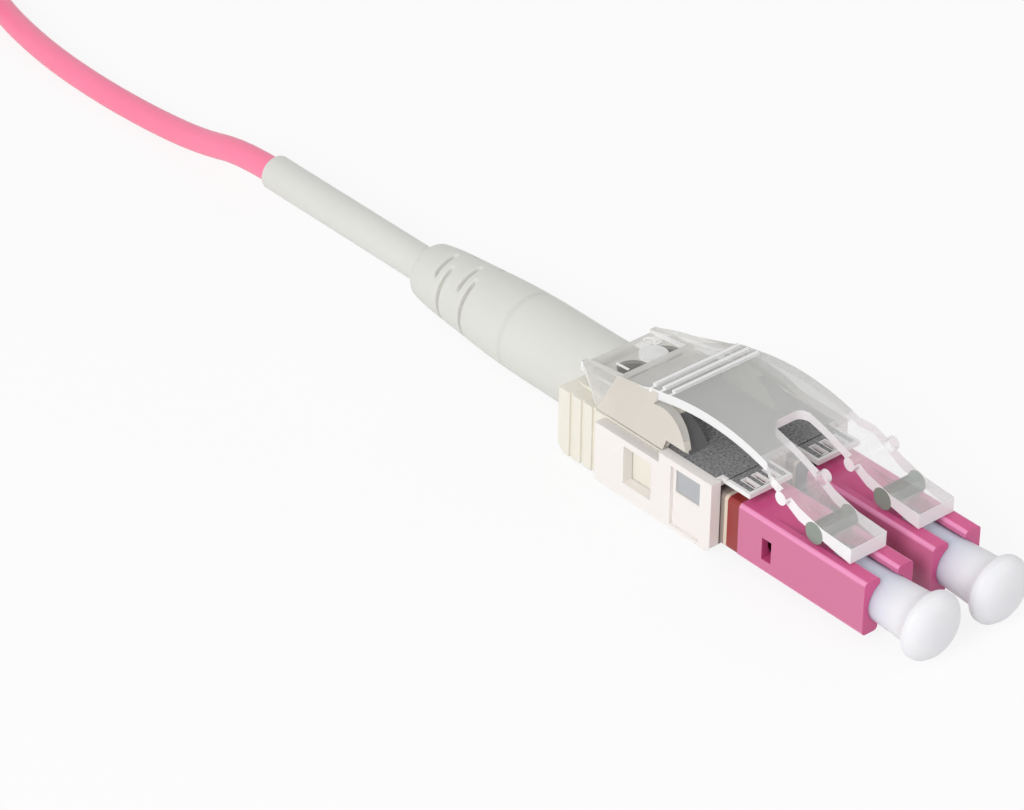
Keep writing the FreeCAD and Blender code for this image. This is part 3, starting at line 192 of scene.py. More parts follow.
class LCF_Plugs(bpy.types.PropertyGroup):
    """Colours of the two plugs, their collars and dust caps."""

    housing: colour_setting("Housing", "Colour of the LC housings", (0.65, 0.09, 0.26))
    first_collar: colour_setting("First collar", "Collar of the left plug", (0.31, 0.035, 0.032))
    second_collar: colour_setting("Second collar", "Collar of the right plug", (0.02, 0.019, 0.02))
    cap: colour_setting("Dust cap", "Colour of the dust caps", (0.80, 0.80, 0.83))


class LCF_Shell(bpy.types.PropertyGroup):
    """Colours of the body behind the plugs."""

    lower: colour_setting("Lower housing", "Milky lower housing", (0.87, 0.83, 0.80))
    deck: colour_setting("Deck", "Speckled deck under the cover", (0.22, 0.22, 0.225))
    carrier: colour_setting("Carrier", "Cream carrier and saddle", (0.83, 0.80, 0.71))
    cover: colour_setting("Latch cover", "Clear latch cover", (0.70, 0.70, 0.685))


class LCF_Boot(bpy.types.PropertyGroup):
    """Colour of the bend-relief boot and the label sleeve."""

    colour: colour_setting("Boot", "Colour of the boot and the sleeve", (0.71, 0.71, 0.67))


class LCF_Stage(bpy.types.PropertyGroup):
    """Floor, lamps and camera."""

    key_watts: FloatProperty(name="Key lamp", description="Power of the key lamp",
                             default=1.75, subtype="POWER")
    fill_watts: FloatProperty(name="Fill lamp", description="Power of the fill lamp",
                              default=0.5, subtype="POWER")
    sky: FloatProperty(name="Sky", description="Strength of the even light all round",
                       default=0.50, min=0)
    lens: FloatProperty(name="Lens", description="Focal length on a 36 mm sensor, millimetres",
                        default=158.2)


GROUPS = {"lcf_cord": LCF_Cord, "lcf_plugs": LCF_Plugs, "lcf_shell": LCF_Shell,
          "lcf_boot": LCF_Boot, "lcf_stage": LCF_Stage}


# ---- meshes

def add_object(name, data):
    """A new object of the scene, at the origin."""
    item = bpy.data.objects.new(name, data)
    bpy.context.scene.collection.objects.link(item)
    return item


def surface(name, points, wrap_u=False):
    """Mesh of a grid of points P[u, v]: each cell is one quad, and v, or both, join their ends.

    Doubled points are then merged and the faces turned outwards.
    """
    nu, nv = points.shape[:2]
    index = np.arange(nu * nv).reshape(nu, nv)
    if wrap_u:
        index = np.vstack([index, index[:1]])
    index = np.hstack([index, index[:, :1]])
    quads = np.stack([index[:-1, :-1], index[:-1, 1:], index[1:, 1:], index[1:, :-1]], -1)
    mesh = bpy.data.meshes.new(name)
    mesh.from_pydata(points.reshape(-1, 3), [], quads.reshape(-1, 4).tolist())
    mesh.polygons.foreach_set("use_smooth", np.ones(len(mesh.polygons), bool))
    mesh.validate()
    piece = add_object(name, mesh)
    recalculate(piece)
    return piece


def rounded(corners, radii, steps=6):
    """Half section with its corners rounded.

    A corner c with radius r becomes the quadratic curve from c - r a to c + r b, where a and b are
    the unit directions of the sides before and after it: p(t) = (1-t)^2 p0 + 2t(1-t) c + t^2 p1.
    """
    corners = np.asarray(corners, float)
    out = [corners[:1]]
    t = np.linspace(0, 1, steps)[:, None]
    for before, spot, after, r in zip(corners, corners[1:], corners[2:], radii):
        a = (spot - before) / np.linalg.norm(spot - before)
        b = (after - spot) / np.linalg.norm(after - spot)
        p0, p1 = spot - r * a, spot + r * b
        out.append((1 - t) ** 2 * p0 + 2 * t * (1 - t) * spot + t ** 2 * p1)
    out.append(corners[-1:])
    return np.vstack(out)


def lathe(name, section, x, z, wrap_u=False):
    """Turned surface P(i, v) = (x + r_i cos v, y_i, z + r_i sin v) of section rows (y, r)."""
    v = np.linspace(0, 2 * math.pi, TURNS, endpoint=False)
    y, r = section[:, :1], section[:, 1:]
    points = np.stack([x + r * np.cos(v), y + 0 * v, z + r * np.sin(v)], -1)
    return surface(name, points, wrap_u)


def recalculate(piece):
    """Merge doubled points and turn every face outwards."""
    work = bmesh.new()
    work.from_mesh(piece.data)
    bmesh.ops.remove_doubles(work, verts=work.verts, dist=1e-7)
    bmesh.ops.recalc_face_normals(work, faces=work.faces)
    work.to_mesh(piece.data)
    work.free()


# ---- materials

def node(tree, kind, **values):
    """A node of a tree with its properties, and inputs given as in_Name=value or a socket."""
    item = tree.nodes.new(kind)
    for key, value in values.items():
        if not key.startswith("in_"):
            setattr(item, key, value)
            continue
        name = key[3:].replace("_", " ")
        socket = item.inputs[int(name) if name.isdigit() else name]
        if isinstance(value, bpy.types.NodeSocket):
            tree.links.new(value, socket)
        else:
            socket.default_value = value
    return item


def math_node(tree, operation, a, b=0.0):
    """The result of one sum on two values or sockets."""
    return node(tree, "ShaderNodeMath", operation=operation, in_0=a, in_1=b).outputs[0]


def new_group(name, inputs, outputs):
    """An empty shader node group with named sockets. Inputs are (name, kind, default)."""
    tree = bpy.data.node_groups.new(name, "ShaderNodeTree")
    for label, kind, default in inputs:
        socket = tree.interface.new_socket(name=label, in_out="INPUT", socket_type=kind)
        socket.default_value = default
    for label, kind in outputs:
        tree.interface.new_socket(name=label, in_out="OUTPUT", socket_type=kind)
    return tree, tree.nodes.new("NodeGroupInput"), tree.nodes.new("NodeGroupOutput")


def parts_of(tree, vector):
    """x, y and z of a vector socket."""
    split = node(tree, "ShaderNodeSeparateXYZ", in_0=vector)
    return [split.outputs[axis] for axis in "XYZ"]


def facing(tree):
    """The surface's own direction."""
    return node(tree, "ShaderNodeNewGeometry").outputs["Normal"]


COLOUR, NUMBER, VECTOR = "NodeSocketColor", "NodeSocketFloat", "NodeSocketVector"


def moulded_group():
    """Moulded plastic: slow change of tone, fine speckle, and a height that dimples the gloss."""
    tree, source, sink = new_group(
        "Moulded plastic",
        [("Colour", COLOUR, (0.8, 0.8, 0.8, 1)), ("Tone", NUMBER, 0.06), ("Speckle", NUMBER, 0.03),
         ("Grain", NUMBER, 2500.0), ("Gloss", NUMBER, 0.3)],
        [("Colour", COLOUR), ("Roughness", NUMBER), ("Height", NUMBER)])
    place = node(tree, "ShaderNodeTexCoord").outputs["Object"]
    slow = node(tree, "ShaderNodeTexNoise", in_Vector=place, in_Scale=260.0, in_Detail=2.0)
    fine = node(tree, "ShaderNodeTexNoise", in_Vector=place, in_Scale=source.outputs["Grain"],
                in_Detail=3.0)
    swing = math_node(tree, "SUBTRACT", slow.outputs["Fac"], 0.5)
    dots = math_node(tree, "SUBTRACT", fine.outputs["Fac"], 0.5)
    tone = math_node(tree, "MULTIPLY", swing, source.outputs["Tone"])
    speck = math_node(tree, "MULTIPLY", dots, source.outputs["Speckle"])
    shift = math_node(tree, "ADD", math_node(tree, "ADD", tone, speck), 1.0)
    colour = node(tree, "ShaderNodeVectorMath", operation="SCALE",
                  in_0=source.outputs["Colour"], in_Scale=shift)
    tree.links.new(colour.outputs[0], sink.inputs["Colour"])
    rough = math_node(tree, "ADD", source.outputs["Gloss"],
                      math_node(tree, "MULTIPLY", dots, 0.12))
    tree.links.new(rough, sink.inputs["Roughness"])
    tree.links.new(fine.outputs["Fac"], sink.inputs["Height"])
    return tree


def within(tree, value, low_end, high_end):
    """1 where a value lies between two limits, else 0."""
    above = math_node(tree, "GREATER_THAN", value, low_end)
    below = math_node(tree, "LESS_THAN", value, high_end)
    return math_node(tree, "MULTIPLY", above, below)


def either(tree, *masks):
    """1 where any of the masks is 1."""
    total = masks[0]
    for mask in masks[1:]:
        total = math_node(tree, "MAXIMUM", total, mask)
    return total


def both(tree, *masks):
    """1 where all of the masks are 1."""
    total = masks[0]
    for mask in masks[1:]:
        total = math_node(tree, "MULTIPLY", total, mask)
    return total


def blend(tree, mask, first, second):
    """The first colour where the mask is 0 and the second where it is 1."""
    mix = node(tree, "ShaderNodeMix", data_type="RGBA", in_0=mask, in_6=first, in_7=second)
    return mix.outputs[2]


def blend_out(tree, mask, source, second, sink):
    """Lead a group's colour out of it, changed by a mask to the second named one."""
    tree.links.new(blend(tree, mask, source.outputs["Colour"], source.outputs[second]),
                   sink.inputs["Colour"])
    return tree


def edge_highlight_group():
    """Painted highlight on rounded long edges, where a face looks both up and sideways: a lighter
    colour stands in for the gloss there.

    With the normal (a, b, c), the mask is (|a c| - EDGE_HIGHLIGHT_START) / EDGE_HIGHLIGHT_WIDTH, in
    0 to 1.
    """
    tree, source, sink = new_group(
        "Painted edge highlights",
        [("Colour", COLOUR, (0.5, 0.1, 0.2, 1)), ("Edge", COLOUR, (0.9, 0.5, 0.6, 1))],
        [("Colour", COLOUR)])
    aside, _, up = parts_of(tree, facing(tree))
    product = math_node(tree, "ABSOLUTE", math_node(tree, "MULTIPLY", aside, up))
    past = math_node(tree, "SUBTRACT", product, EDGE_HIGHLIGHT_START)
    ramp = math_node(tree, "DIVIDE", past, EDGE_HIGHLIGHT_WIDTH)
    mask = node(tree, "ShaderNodeClamp", in_0=ramp).outputs[0]
    return blend_out(tree, mask, source, "Edge", sink)


def zone_group():
    """Another colour beyond a plane: the mask is ((Place . Axis) - Start) / Width, in 0 to 1."""
    tree, source, sink = new_group(
        "Zone",
        [("Place", VECTOR, (0, 0, 0)), ("Axis", VECTOR, (0, 1, 0)), ("Start", NUMBER, 0.0),
         ("Width", NUMBER, 0.001), ("Colour", COLOUR, (0.5, 0.5, 0.5, 1)),
         ("Zone", COLOUR, (0.8, 0.8, 0.8, 1))],
        [("Colour", COLOUR)])
    along = node(tree, "ShaderNodeVectorMath", operation="DOT_PRODUCT",
                 in_0=source.outputs["Place"], in_1=source.outputs["Axis"]).outputs["Value"]
    past = math_node(tree, "SUBTRACT", along, source.outputs["Start"])
    ramp = math_node(tree, "DIVIDE", past, source.outputs["Width"])
    mask = node(tree, "ShaderNodeClamp", in_0=ramp).outputs[0]
    return blend_out(tree, mask, source, "Zone", sink)


def tab_rim_group():
    """Pale rims of the deck: round its two tabs, along its front edge and round the slots.

    Places are those of the near connector. t is the distance from the middle line of a tab, and
    y is measured from the front edge of the tabs.
    """
    tree, source, sink = new_group(
        "Tab rims",
        [("Place", VECTOR, (0, 0, 0)), ("Colour", COLOUR, (0.2, 0.2, 0.2, 1)),
         ("Rim", COLOUR, (0.9, 0.9, 0.9, 1))],
        [("Colour", COLOUR)])
    x, y, _ = parts_of(tree, source.outputs["Place"])
    across = math_node(tree, "ABSOLUTE", x)
    t = math_node(tree, "ABSOLUTE", math_node(tree, "SUBTRACT", across, SIDE_X))
    y = math_node(tree, "SUBTRACT", y, low("deck").y)
    edge = within(tree, t, TAB_HALF - RIM, BEYOND)
    on_tab = within(tree, y, -BEYOND, TAB_LENGTH)
    tab_rim = both(tree, on_tab, either(tree, edge, within(tree, y, -BEYOND, RIM)))
    front_rim = both(tree, within(tree, y, TAB_LENGTH, TAB_LENGTH + RIM), edge)
    slots = either(tree, within(tree, t, -BEYOND, SLOT_HALF + SLOT_RIM),
                   within(tree, t, SLOT_PITCH - SLOT_HALF - SLOT_RIM,
                          SLOT_PITCH + SLOT_HALF + SLOT_RIM))
    slot_rim = both(tree, slots, within(tree, y, SLOT_START - SLOT_RIM, SLOT_END + SLOT_RIM))
    mask = either(tree, tab_rim, front_rim, slot_rim)
    return blend_out(tree, mask, source, "Rim", sink)


def disc(tree, first, second, centre, radius):
    """1 inside a circle of a plane whose two coordinates are given, else 0."""
    one = math_node(tree, "SUBTRACT", first, centre[0])
    two = math_node(tree, "SUBTRACT", second, centre[1])
    squares = math_node(tree, "ADD", math_node(tree, "MULTIPLY", one, one),
                        math_node(tree, "MULTIPLY", two, two))
    return math_node(tree, "LESS_THAN", squares, radius * radius)


def clear_film_group():
    """Clear moulded plastic: film on broad faces, whiter on upright edges and grip ridges.

    Places are those of the near connector. The side wings are denser and creamy, and the arms
    ahead of the window are thinner, uneven and a little denser in their front block. The rocking
    lugs are a darker, greener cylinder about their axis, and the rear panel is shaded beside its
    round boss. Each row of the loop gives a place, its film from clear (0) to solid (1) and its
    colour, and a later row covers an earlier one.
    """
    tree, source, sink = new_group(
        "Clear moulding",
        [("Place", VECTOR, (0, 0, 0)), ("Colour", COLOUR, (0.6, 0.6, 0.6, 1)),
         ("Wing", COLOUR, (0.7, 0.67, 0.6, 1)), ("Lug", COLOUR, (0.3, 0.4, 0.3, 1)),
         ("Rear", COLOUR, (0.83, 0.82, 0.79, 1)), ("Edge", COLOUR, (0.93, 0.93, 0.93, 1)),
         ("Shade", COLOUR, (0.1, 0.1, 0.1, 1)), ("Film", NUMBER, 0.5), ("Arm", NUMBER, 0.26),
         ("Solid", NUMBER, 0.88)],
        [("Colour", COLOUR), ("Alpha", NUMBER)])
    x, y, z = parts_of(tree, source.outputs["Place"])
    aside, ahead, up = [math_node(tree, "ABSOLUTE", part) for part in parts_of(tree, facing(tree))]
    upright = math_node(tree, "LESS_THAN", up, UPRIGHT)
    ridges = either(tree, *[within(tree, y, ridge - RIDGE_HALF, ridge + RIDGE_HALF)
                            for ridge in RIDGES])
    ridges = both(tree, ridges, math_node(tree, "GREATER_THAN", z, CREST_Z))
    arms = math_node(tree, "LESS_THAN", y, ARM_Y)
    block = math_node(tree, "LESS_THAN", y, ARM_STEP_Y)
    wing = both(tree, within(tree, up, UPRIGHT, LEVEL),
                math_node(tree, "GREATER_THAN", y, WING_Y))
    flank = both(tree, within(tree, aside, *SIDEWAYS), math_node(tree, "LESS_THAN", y, WING_Y))
    ahead = math_node(tree, "GREATER_THAN", ahead, AHEAD)
    rear = math_node(tree, "GREATER_THAN", y, REAR_Y)
    wing_end = both(tree, upright, ahead, within(tree, y, WING_Y, RIDGES[0]),
                    math_node(tree, "LESS_THAN", z, CREST_Z - WING_END_DROP))
    lug = disc(tree, y, z, (LUG_Y, LUG_Z), LUG_RADIUS)
    panel = math_node(tree, "GREATER_THAN", up, LEVEL)
    boss = both(tree, panel, disc(tree, x, y, BOSS, BOSS_RADIUS))
    shade = both(tree, panel, within(tree, y, SHADE_Y, 0.0),
                 either(tree, *[disc(tree, x, y, *spot) for spot in SHADES]))
    cloud = node(tree, "ShaderNodeTexNoise", in_Vector=source.outputs["Place"], in_Scale=420.0,
                 in_Detail=3.0)
    uneven = math_node(tree, "ADD", cloud.outputs["Fac"], 0.5)
    arm_film = math_node(tree, "MULTIPLY", source.outputs["Arm"], uneven)
    arm_film = math_node(tree, "ADD", arm_film, math_node(tree, "MULTIPLY", block, 0.06))
    alpha = source.outputs["Film"]
    colour = source.outputs["Colour"]
    edges = either(tree, upright, ridges)
    for mask, amount, tone in (
            (rear, 0.42, "Rear"), (wing, 0.80, "Wing"), (flank, 0.45, "Edge"),
            (arms, arm_film, "Edge"), (shade, 0.55, "Shade"), (boss, 0.70, "Edge"),
            (edges, source.outputs["Solid"], "Edge"), (wing_end, 0.12, "Wing"),
            (lug, 0.90, "Lug")):
        alpha = node(tree, "ShaderNodeMix", data_type="FLOAT", in_0=mask, in_2=alpha,
                     in_3=amount).outputs[0]
        colour = blend(tree, mask, colour, source.outputs[tone])
    tree.links.new(colour, sink.inputs["Colour"])
    tree.links.new(alpha, sink.inputs["Alpha"])
    return tree


def near_place(tree, far):
    """Object coordinates, turned for the far connector into those of the near one."""
    place = node(tree, "ShaderNodeTexCoord").outputs["Object"]
    if not far:
        return place
    turned = node(tree, "ShaderNodeMapping", in_Vector=place, in_Location=TURN,
                  in_Scale=(-1, -1, 1))
    return turned.outputs[0]


SHARED = {}


def group_node(tree, maker, **values):
    """A node of an effect that materials share: its group is made once."""
    if maker not in SHARED:
        SHARED[maker] = maker()
    return node(tree, "ShaderNodeGroup", node_tree=SHARED[maker], **values)


def rgba(colour):
    """A colour with full alpha."""
    return (colour[0], colour[1], colour[2], 1.0)


def blank_tree(owner):
    """The emptied node tree of a material or a world."""
    owner.use_nodes = True
    owner.node_tree.nodes.clear()
    return owner.node_tree


def lead_out(tree, shader, kind="ShaderNodeOutputMaterial"):
    """Lead a shader to the output of its tree."""
    node(tree, kind, in_Surface=shader.outputs[0])


def plastic(name, colour, tone=0.06, speckle=0.03, grain=2500.0, gloss=0.3, dimple=0.02,
            soft=0.0, depth=0.001, coat=0.0, dress=None):
    """A moulded plastic from the shared group, on a Principled BSDF of its own.

    dress, if given, takes the tree and the tint, and returns the tint and the alpha or None.
    """
    material = bpy.data.materials.new(name)
    tree = blank_tree(material)
    group = group_node(tree, moulded_group, in_Colour=rgba(colour), in_Tone=tone,
                       in_Speckle=speckle, in_Grain=grain, in_Gloss=gloss)
    tint, alpha = group.outputs["Colour"], None
    if dress:
        tint, alpha = dress(tree, tint)
    bump = node(tree, "ShaderNodeBump", in_Strength=dimple, in_Distance=0.0001,
                in_Height=group.outputs["Height"])
    shader = node(tree, "ShaderNodeBsdfPrincipled", in_Base_Color=tint, in_IOR=1.46,
                  in_Roughness=group.outputs["Roughness"], in_Normal=bump.outputs["Normal"],
                  in_Coat_Weight=coat, in_Coat_Roughness=0.08, in_Subsurface_Weight=soft,
                  in_Subsurface_Scale=depth, in_Subsurface_Radius=(1.0, 0.9, 0.8))
    if alpha is not None:
        tree.links.new(alpha, shader.inputs["Alpha"])
    lead_out(tree, shader)
    return material


def with_edge_highlights(edge):
    """A dress that paints a highlight on rounded long edges, in the given colour."""
    def dress(tree, tint):
        group = group_node(tree, edge_highlight_group, in_Colour=tint, in_Edge=rgba(edge))
        return group.outputs["Colour"], None
    return dress


def with_zones(zones, far, by_direction=False):
    """A dress that gives other colours beyond planes, each (axis, start, width, colour).

    With by_direction, the plane's axis is compared with the surface's own direction instead.
    """
    def dress(tree, tint):
        sense = -1 if far else 1
        for axis, start, width, colour in zones:
            if by_direction:
                axis = (sense * axis[0], sense * axis[1], axis[2])
            place = facing(tree) if by_direction else near_place(tree, far)
            group = group_node(tree, zone_group, in_Place=place, in_Axis=axis, in_Start=start,
                               in_Width=width, in_Colour=tint, in_Zone=rgba(colour))
            tint = group.outputs["Colour"]
        return tint, None
    return dress


def with_tab_rims(rim, far):
    """A dress that draws the pale rims of the deck."""
    def dress(tree, tint):
        group = group_node(tree, tab_rim_group, in_Place=near_place(tree, far), in_Colour=tint,
                           in_Rim=rgba(rim))
        return group.outputs["Colour"], None
    return dress


def with_clear_film(far):
    """A dress that thins a plastic to a clear film, solid on its edges."""
    def dress(tree, tint):
        group = group_node(tree, clear_film_group, in_Place=near_place(tree, far),
                           in_Colour=tint, in_Wing=(0.77, 0.72, 0.65, 1),
                           in_Lug=(0.27, 0.32, 0.27, 1))
        return group.outputs["Colour"], group.outputs["Alpha"]
    return dress


def metal(name, colour, rough=0.28):
    """Turned metal: fine rings round the Y axis, as noise stretched across it.

    The colour runs from 0.9 of itself to itself, and the roughness from rough - 0.1 up by 0.25.
    """
    material = bpy.data.materials.new(name)
    tree = blank_tree(material)
    place = node(tree, "ShaderNodeTexCoord").outputs["Object"]
    turned = node(tree, "ShaderNodeMapping", in_Vector=place, in_Scale=(0.02, 4.0, 0.02))
    rings = node(tree, "ShaderNodeTexNoise", in_Vector=turned.outputs[0],
                 in_Scale=900.0).outputs["Fac"]
    change = math_node(tree, "MULTIPLY", rings, 0.25)
    tint = blend(tree, rings, rgba([c * 0.9 for c in colour]), rgba(colour))
    shader = node(tree, "ShaderNodeBsdfPrincipled", in_Base_Color=tint, in_Metallic=1.0,
                  in_Roughness=math_node(tree, "ADD", change, rough - 0.1))
    lead_out(tree, shader)
    return material


def finish_node(name, material):
    """Put a material on a CAD node, in place of its plain one."""
    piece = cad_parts[name]
    piece.data.materials.clear()
    piece.data.materials.append(material)


def finish_piece(piece, material, body, slot, *nodes):
    """Material and body of a new piece, and the CAD nodes that it stands for; the material slot is
    not used.
    """
    piece.data.materials.append(material)
    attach(piece, body)
    if nodes:
        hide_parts(*nodes)


# ---- operators

class LCF_OT_Stage(bpy.types.Operator):
    """Pale floor, soft lamps, even sky and the camera"""

    bl_idname = "lcf.stage"
    bl_label = "Stage"

    def execute(self, context):
        scene = context.scene
        stage = scene.lcf_stage
        scene.view_settings.view_transform = "Standard"
        self.add_camera(scene, stage)
        self.add_floor()
        self.add_sky(scene, stage)
        for lamp, power in zip(LAMPS, (stage.key_watts, stage.fill_watts)):
            self.add_lamp(*lamp, power)
        return {"FINISHED"}

    def add_camera(self, scene, stage):
        """The camera, from its place and two of its directions."""
        data = bpy.data.cameras.new("camera")
        data.lens = stage.lens
        data.sensor_width = 36.0
        data.clip_start = 0.01
        camera = add_object("camera", data)
        right, ahead = [Vector(way).normalized() for way in (CAMERA_RIGHT, CAMERA_AHEAD)]
        turn = Matrix((right, right.cross(ahead), -ahead)).transposed().to_4x4()
        camera.matrix_world = Matrix.Translation(CAMERA_PLACE) @ turn
        scene.camera = camera

    def add_floor(self):
        """Pale matt floor, mostly white to rays that show the background, so it keeps a shadow."""
        half = FLOOR_HALF
        mesh = bpy.data.meshes.new("floor")
        mesh.from_pydata([(-half, -half, 0), (half, -half, 0), (half, half, 0), (-half, half, 0)],
                         [], [(0, 1, 2, 3)])
        floor = add_object("floor", mesh)
        floor.location.z = -FLOOR_DROP
        material = bpy.data.materials.new("pale_floor")
        tree = blank_tree(material)
        matt = node(tree, "ShaderNodeBsdfDiffuse", in_Color=(0.92, 0.92, 0.92, 1))
        glow = node(tree, "ShaderNodeEmission", in_Strength=1.0)
        share = math_node(tree, "MULTIPLY", self.direct_ray(tree), FLOOR_GLOW)
        lead_out(tree, node(tree, "ShaderNodeMixShader", in_0=share, in_1=matt.outputs[0],
                            in_2=glow.outputs[0]))
        mesh.materials.append(material)

    def direct_ray(self, tree):
        """1 for rays that show the background itself: seen, mirrored or through clear parts."""
        path = node(tree, "ShaderNodeLightPath")
        return either(tree, path.outputs["Is Camera Ray"], path.outputs["Is Glossy Ray"],
                      path.outputs["Is Transmission Ray"])

    def add_sky(self, scene, stage):
        """Even light all round, white to rays that show the background."""
        scene.world = bpy.data.worlds.new("sky")
        tree = blank_tree(scene.world)
        plain, white = [node(tree, "ShaderNodeBackground", in_Color=(1, 1, 1, 1),
                             in_Strength=strength) for strength in (stage.sky, 1.0)]
        mix = node(tree, "ShaderNodeMixShader", in_0=self.direct_ray(tree),
                   in_1=plain.outputs[0], in_2=white.outputs[0])
        lead_out(tree, mix, "ShaderNodeOutputWorld")

    def add_lamp(self, name, place, size, power):
        """A round soft lamp turned towards the connector."""
        data = bpy.data.lights.new(name, "AREA")
        data.shape = "DISK"
        data.size = size
        data.energy = power
        aim = (LAMP_TARGET - Vector(place)).to_track_quat("-Z", "Y")
        lamp = add_object(name, data)
        lamp.matrix_world = Matrix.Translation(place) @ aim.to_matrix().to_4x4()


class LCF_OT_Cord(bpy.types.Operator):
    """The free cord with its hank, on one smooth line"""

    bl_idname = "lcf.cord"
    bl_label = "Cord"

    def execute(self, context):
        settings = context.scene.lcf_cord
        points = ROUTE + self.hank(settings) + TAIL
        data = bpy.data.curves.new("patch_cord", "CURVE")
        data.dimensions = "3D"
        data.bevel_depth = settings.diameter / 2
        data.bevel_resolution = 6
        data.resolution_u = 6
        data.use_fill_caps = True
        line = data.splines.new("NURBS")
        line.points.add(len(points) - 1)
        line.points.foreach_set("co", np.c_[points, np.ones(len(points))].ravel())
        line.order_u = 3
        line.use_endpoint_u = True
        cord = add_object("patch_cord", data)
        jacket = plastic("cord_jacket", settings.colour, tone=0.10, speckle=0.06, grain=1800.0,
                         gloss=0.38, dimple=0.10, soft=0.15, depth=0.0006)
        finish_piece(cord, jacket, "connector", "cord_pink", "cord", "cord_coil", "cord_tail")
        return {"FINISHED"}

    def hank(self, settings):
        """Loops of two straight strands and two half-circle folds, each a layer higher.

        A fold's points lie at (R cos a, middle + R sin a), with R a little over the fold's radius
        because the line passes inside its points. The line climbs to the next layer in the last
        part of the left strand and the first half of the near fold, so the cord that comes in
        passes under the fold's other half.
        """
        near_y = ROUTE[-1][1] - HANK_LEAD
        far_y = near_y + settings.run
        side, radius = settings.fold_radius, settings.fold_radius / FOLD_SHARE
        fold = np.radians(np.arange(15, 180, 30))
        strand = np.array([0.28, 0.56, 0.82])
        climb = np.array([0, 0, 0.1, 0.3, 0.55, 0.8, 1, 1, 1, 1]) * settings.diameter
        points = []
        for layer in range(settings.layers):
            height = ROUTE[-1][2] + layer * settings.diameter
            out = [(side, near_y + settings.run * t, height) for t in strand]
            turn = [(radius * math.cos(a), far_y + radius * math.sin(a), height) for a in fold]
            back = [(-side, far_y - settings.run * t) for t in (*strand, 0.95)]
            back += [(-radius * math.cos(a), near_y - radius * math.sin(a)) for a in fold]
            points += out + turn
            points += [(x, y, height + rise) for (x, y), rise in zip(back, climb)]
        return points


class LCF_OT_Plugs(bpy.types.Operator):
    """Finishes of the LC housings, collars, ferrules and springs"""

    bl_idname = "lcf.plugs"
    bl_label = "Plugs"

    def execute(self, context):
        colours = context.scene.lcf_plugs
        housing = plastic("housing_plastic", colours.housing, tone=0.08, speckle=0.05, gloss=0.34,
                          dimple=0.04, soft=0.12, depth=0.0008, coat=0.1, dress=self.painted_side_light_and_edge_highlights)
        ceramic = plastic("ferrule_ceramic", (0.86, 0.85, 0.82), tone=0.02, speckle=0.01,
                          gloss=0.12, dimple=0.0, soft=0.2, depth=0.0005)
        plated = metal("plated_flange", (0.66, 0.64, 0.60))
        drawn = metal("drawn_wire", (0.58, 0.58, 0.59), rough=0.22)
        buffer = plastic("fibre_buffer", (0.86, 0.86, 0.84), gloss=0.35)
        rear = low("lower_housing").y
        lips = [((0, 1, 0), rear + start, LIP_WIDTH, tone) for start, tone in
                zip(LIP_STARTS, ((0.72, 0.62, 0.50), (0.33, 0.27, 0.24)))]
        for start in ("", "far_"):
            for hand, tone in zip(HANDS, (colours.first_collar, colours.second_collar)):
                collar = plastic(f"{start}collar_{hand}_plastic", tone, gloss=0.34, dimple=0.05,
                                 dress=with_zones(lips, bool(start)))
                finish_node(f"{start}lc_housing_{hand}", housing)
                finish_node(f"{start}collar_{hand}", collar)
        for hand in HANDS:
            finish_node(f"ferrule_{hand}", ceramic)
            finish_node(f"ferrule_flange_{hand}", plated)
            wound = self.spring(hand)
            finish_piece(wound, drawn, "connector", "spring_steel", f"ferrule_spring_{hand}")
            front, rear = low(f"ferrule_spring_{hand}"), high(f"ferrule_spring_{hand}")
            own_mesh(wound)
            finish_node(f"fibre_{hand}", buffer)
        return {"FINISHED"}

    def spring(self, hand):
        """Wire of radius w wound on a helix of radius R about the plug's axis.

        With angle a along the helix, C(a) = (x + R cos a, y + p a, z + R sin a), and the surface is
        C(a) + w (cos v N + sin v B), N being the outward radius and B square to it and to the wire.
        """
        a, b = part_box(f"ferrule_spring_{hand}")
        x, z = axis_of(f"ferrule_spring_{hand}")
        wire = SPRING_WIRE / 2
        radius = (b.x - a.x) / 2 - wire
        steps = SPRING_STEPS * SPRING_TURNS + 1
        angle = np.linspace(0, 2 * math.pi * SPRING_TURNS, steps)[:, None]
        pitch = (b.y - a.y - SPRING_WIRE) / angle[-1, 0]
        cos, sin = np.cos(angle), np.sin(angle)
        centre = np.hstack([x + radius * cos, a.y + wire + pitch * angle, z + radius * sin])
        outward = np.hstack([cos, 0 * cos, sin])
        along = np.hstack([-radius * sin, pitch + 0 * sin, radius * cos])
        across = np.cross(along / np.linalg.norm(along, axis=1)[:, None], outward)
        v = np.linspace(0, 2 * math.pi, WIRE_STEPS, endpoint=False)[None, :, None]
        rings = wire * (np.cos(v) * outward[:, None] + np.sin(v) * across[:, None])
        points = centre[:, None] + rings
        first, last = [np.repeat(centre[k, None, None], WIRE_STEPS, axis=1) for k in (0, -1)]
        return surface(f"wound_spring_{hand}", np.concatenate([first, points, last]))

    def painted_side_light_and_edge_highlights(self, tree, tint):
        """Housing colour with painted light: paler on its upright sides, as if lit from the side,
        and a painted highlight on its rounded edges.
        """
        # Painted light: the upright sides take a paler colour, as if lit from the side; the top and
        # front keep the deeper base colour.
        sides = [((hand, 0, 0), SIDE_LIGHT_START, SIDE_LIGHT_WIDTH, (0.62, 0.165, 0.31)) for hand in (-1, 1)]
        tint = with_zones(sides, False, True)(tree, tint)[0]
        # Painted highlight: the rounded long edges take this lighter colour.
        return with_edge_highlights((0.84, 0.30, 0.52))(tree, tint)


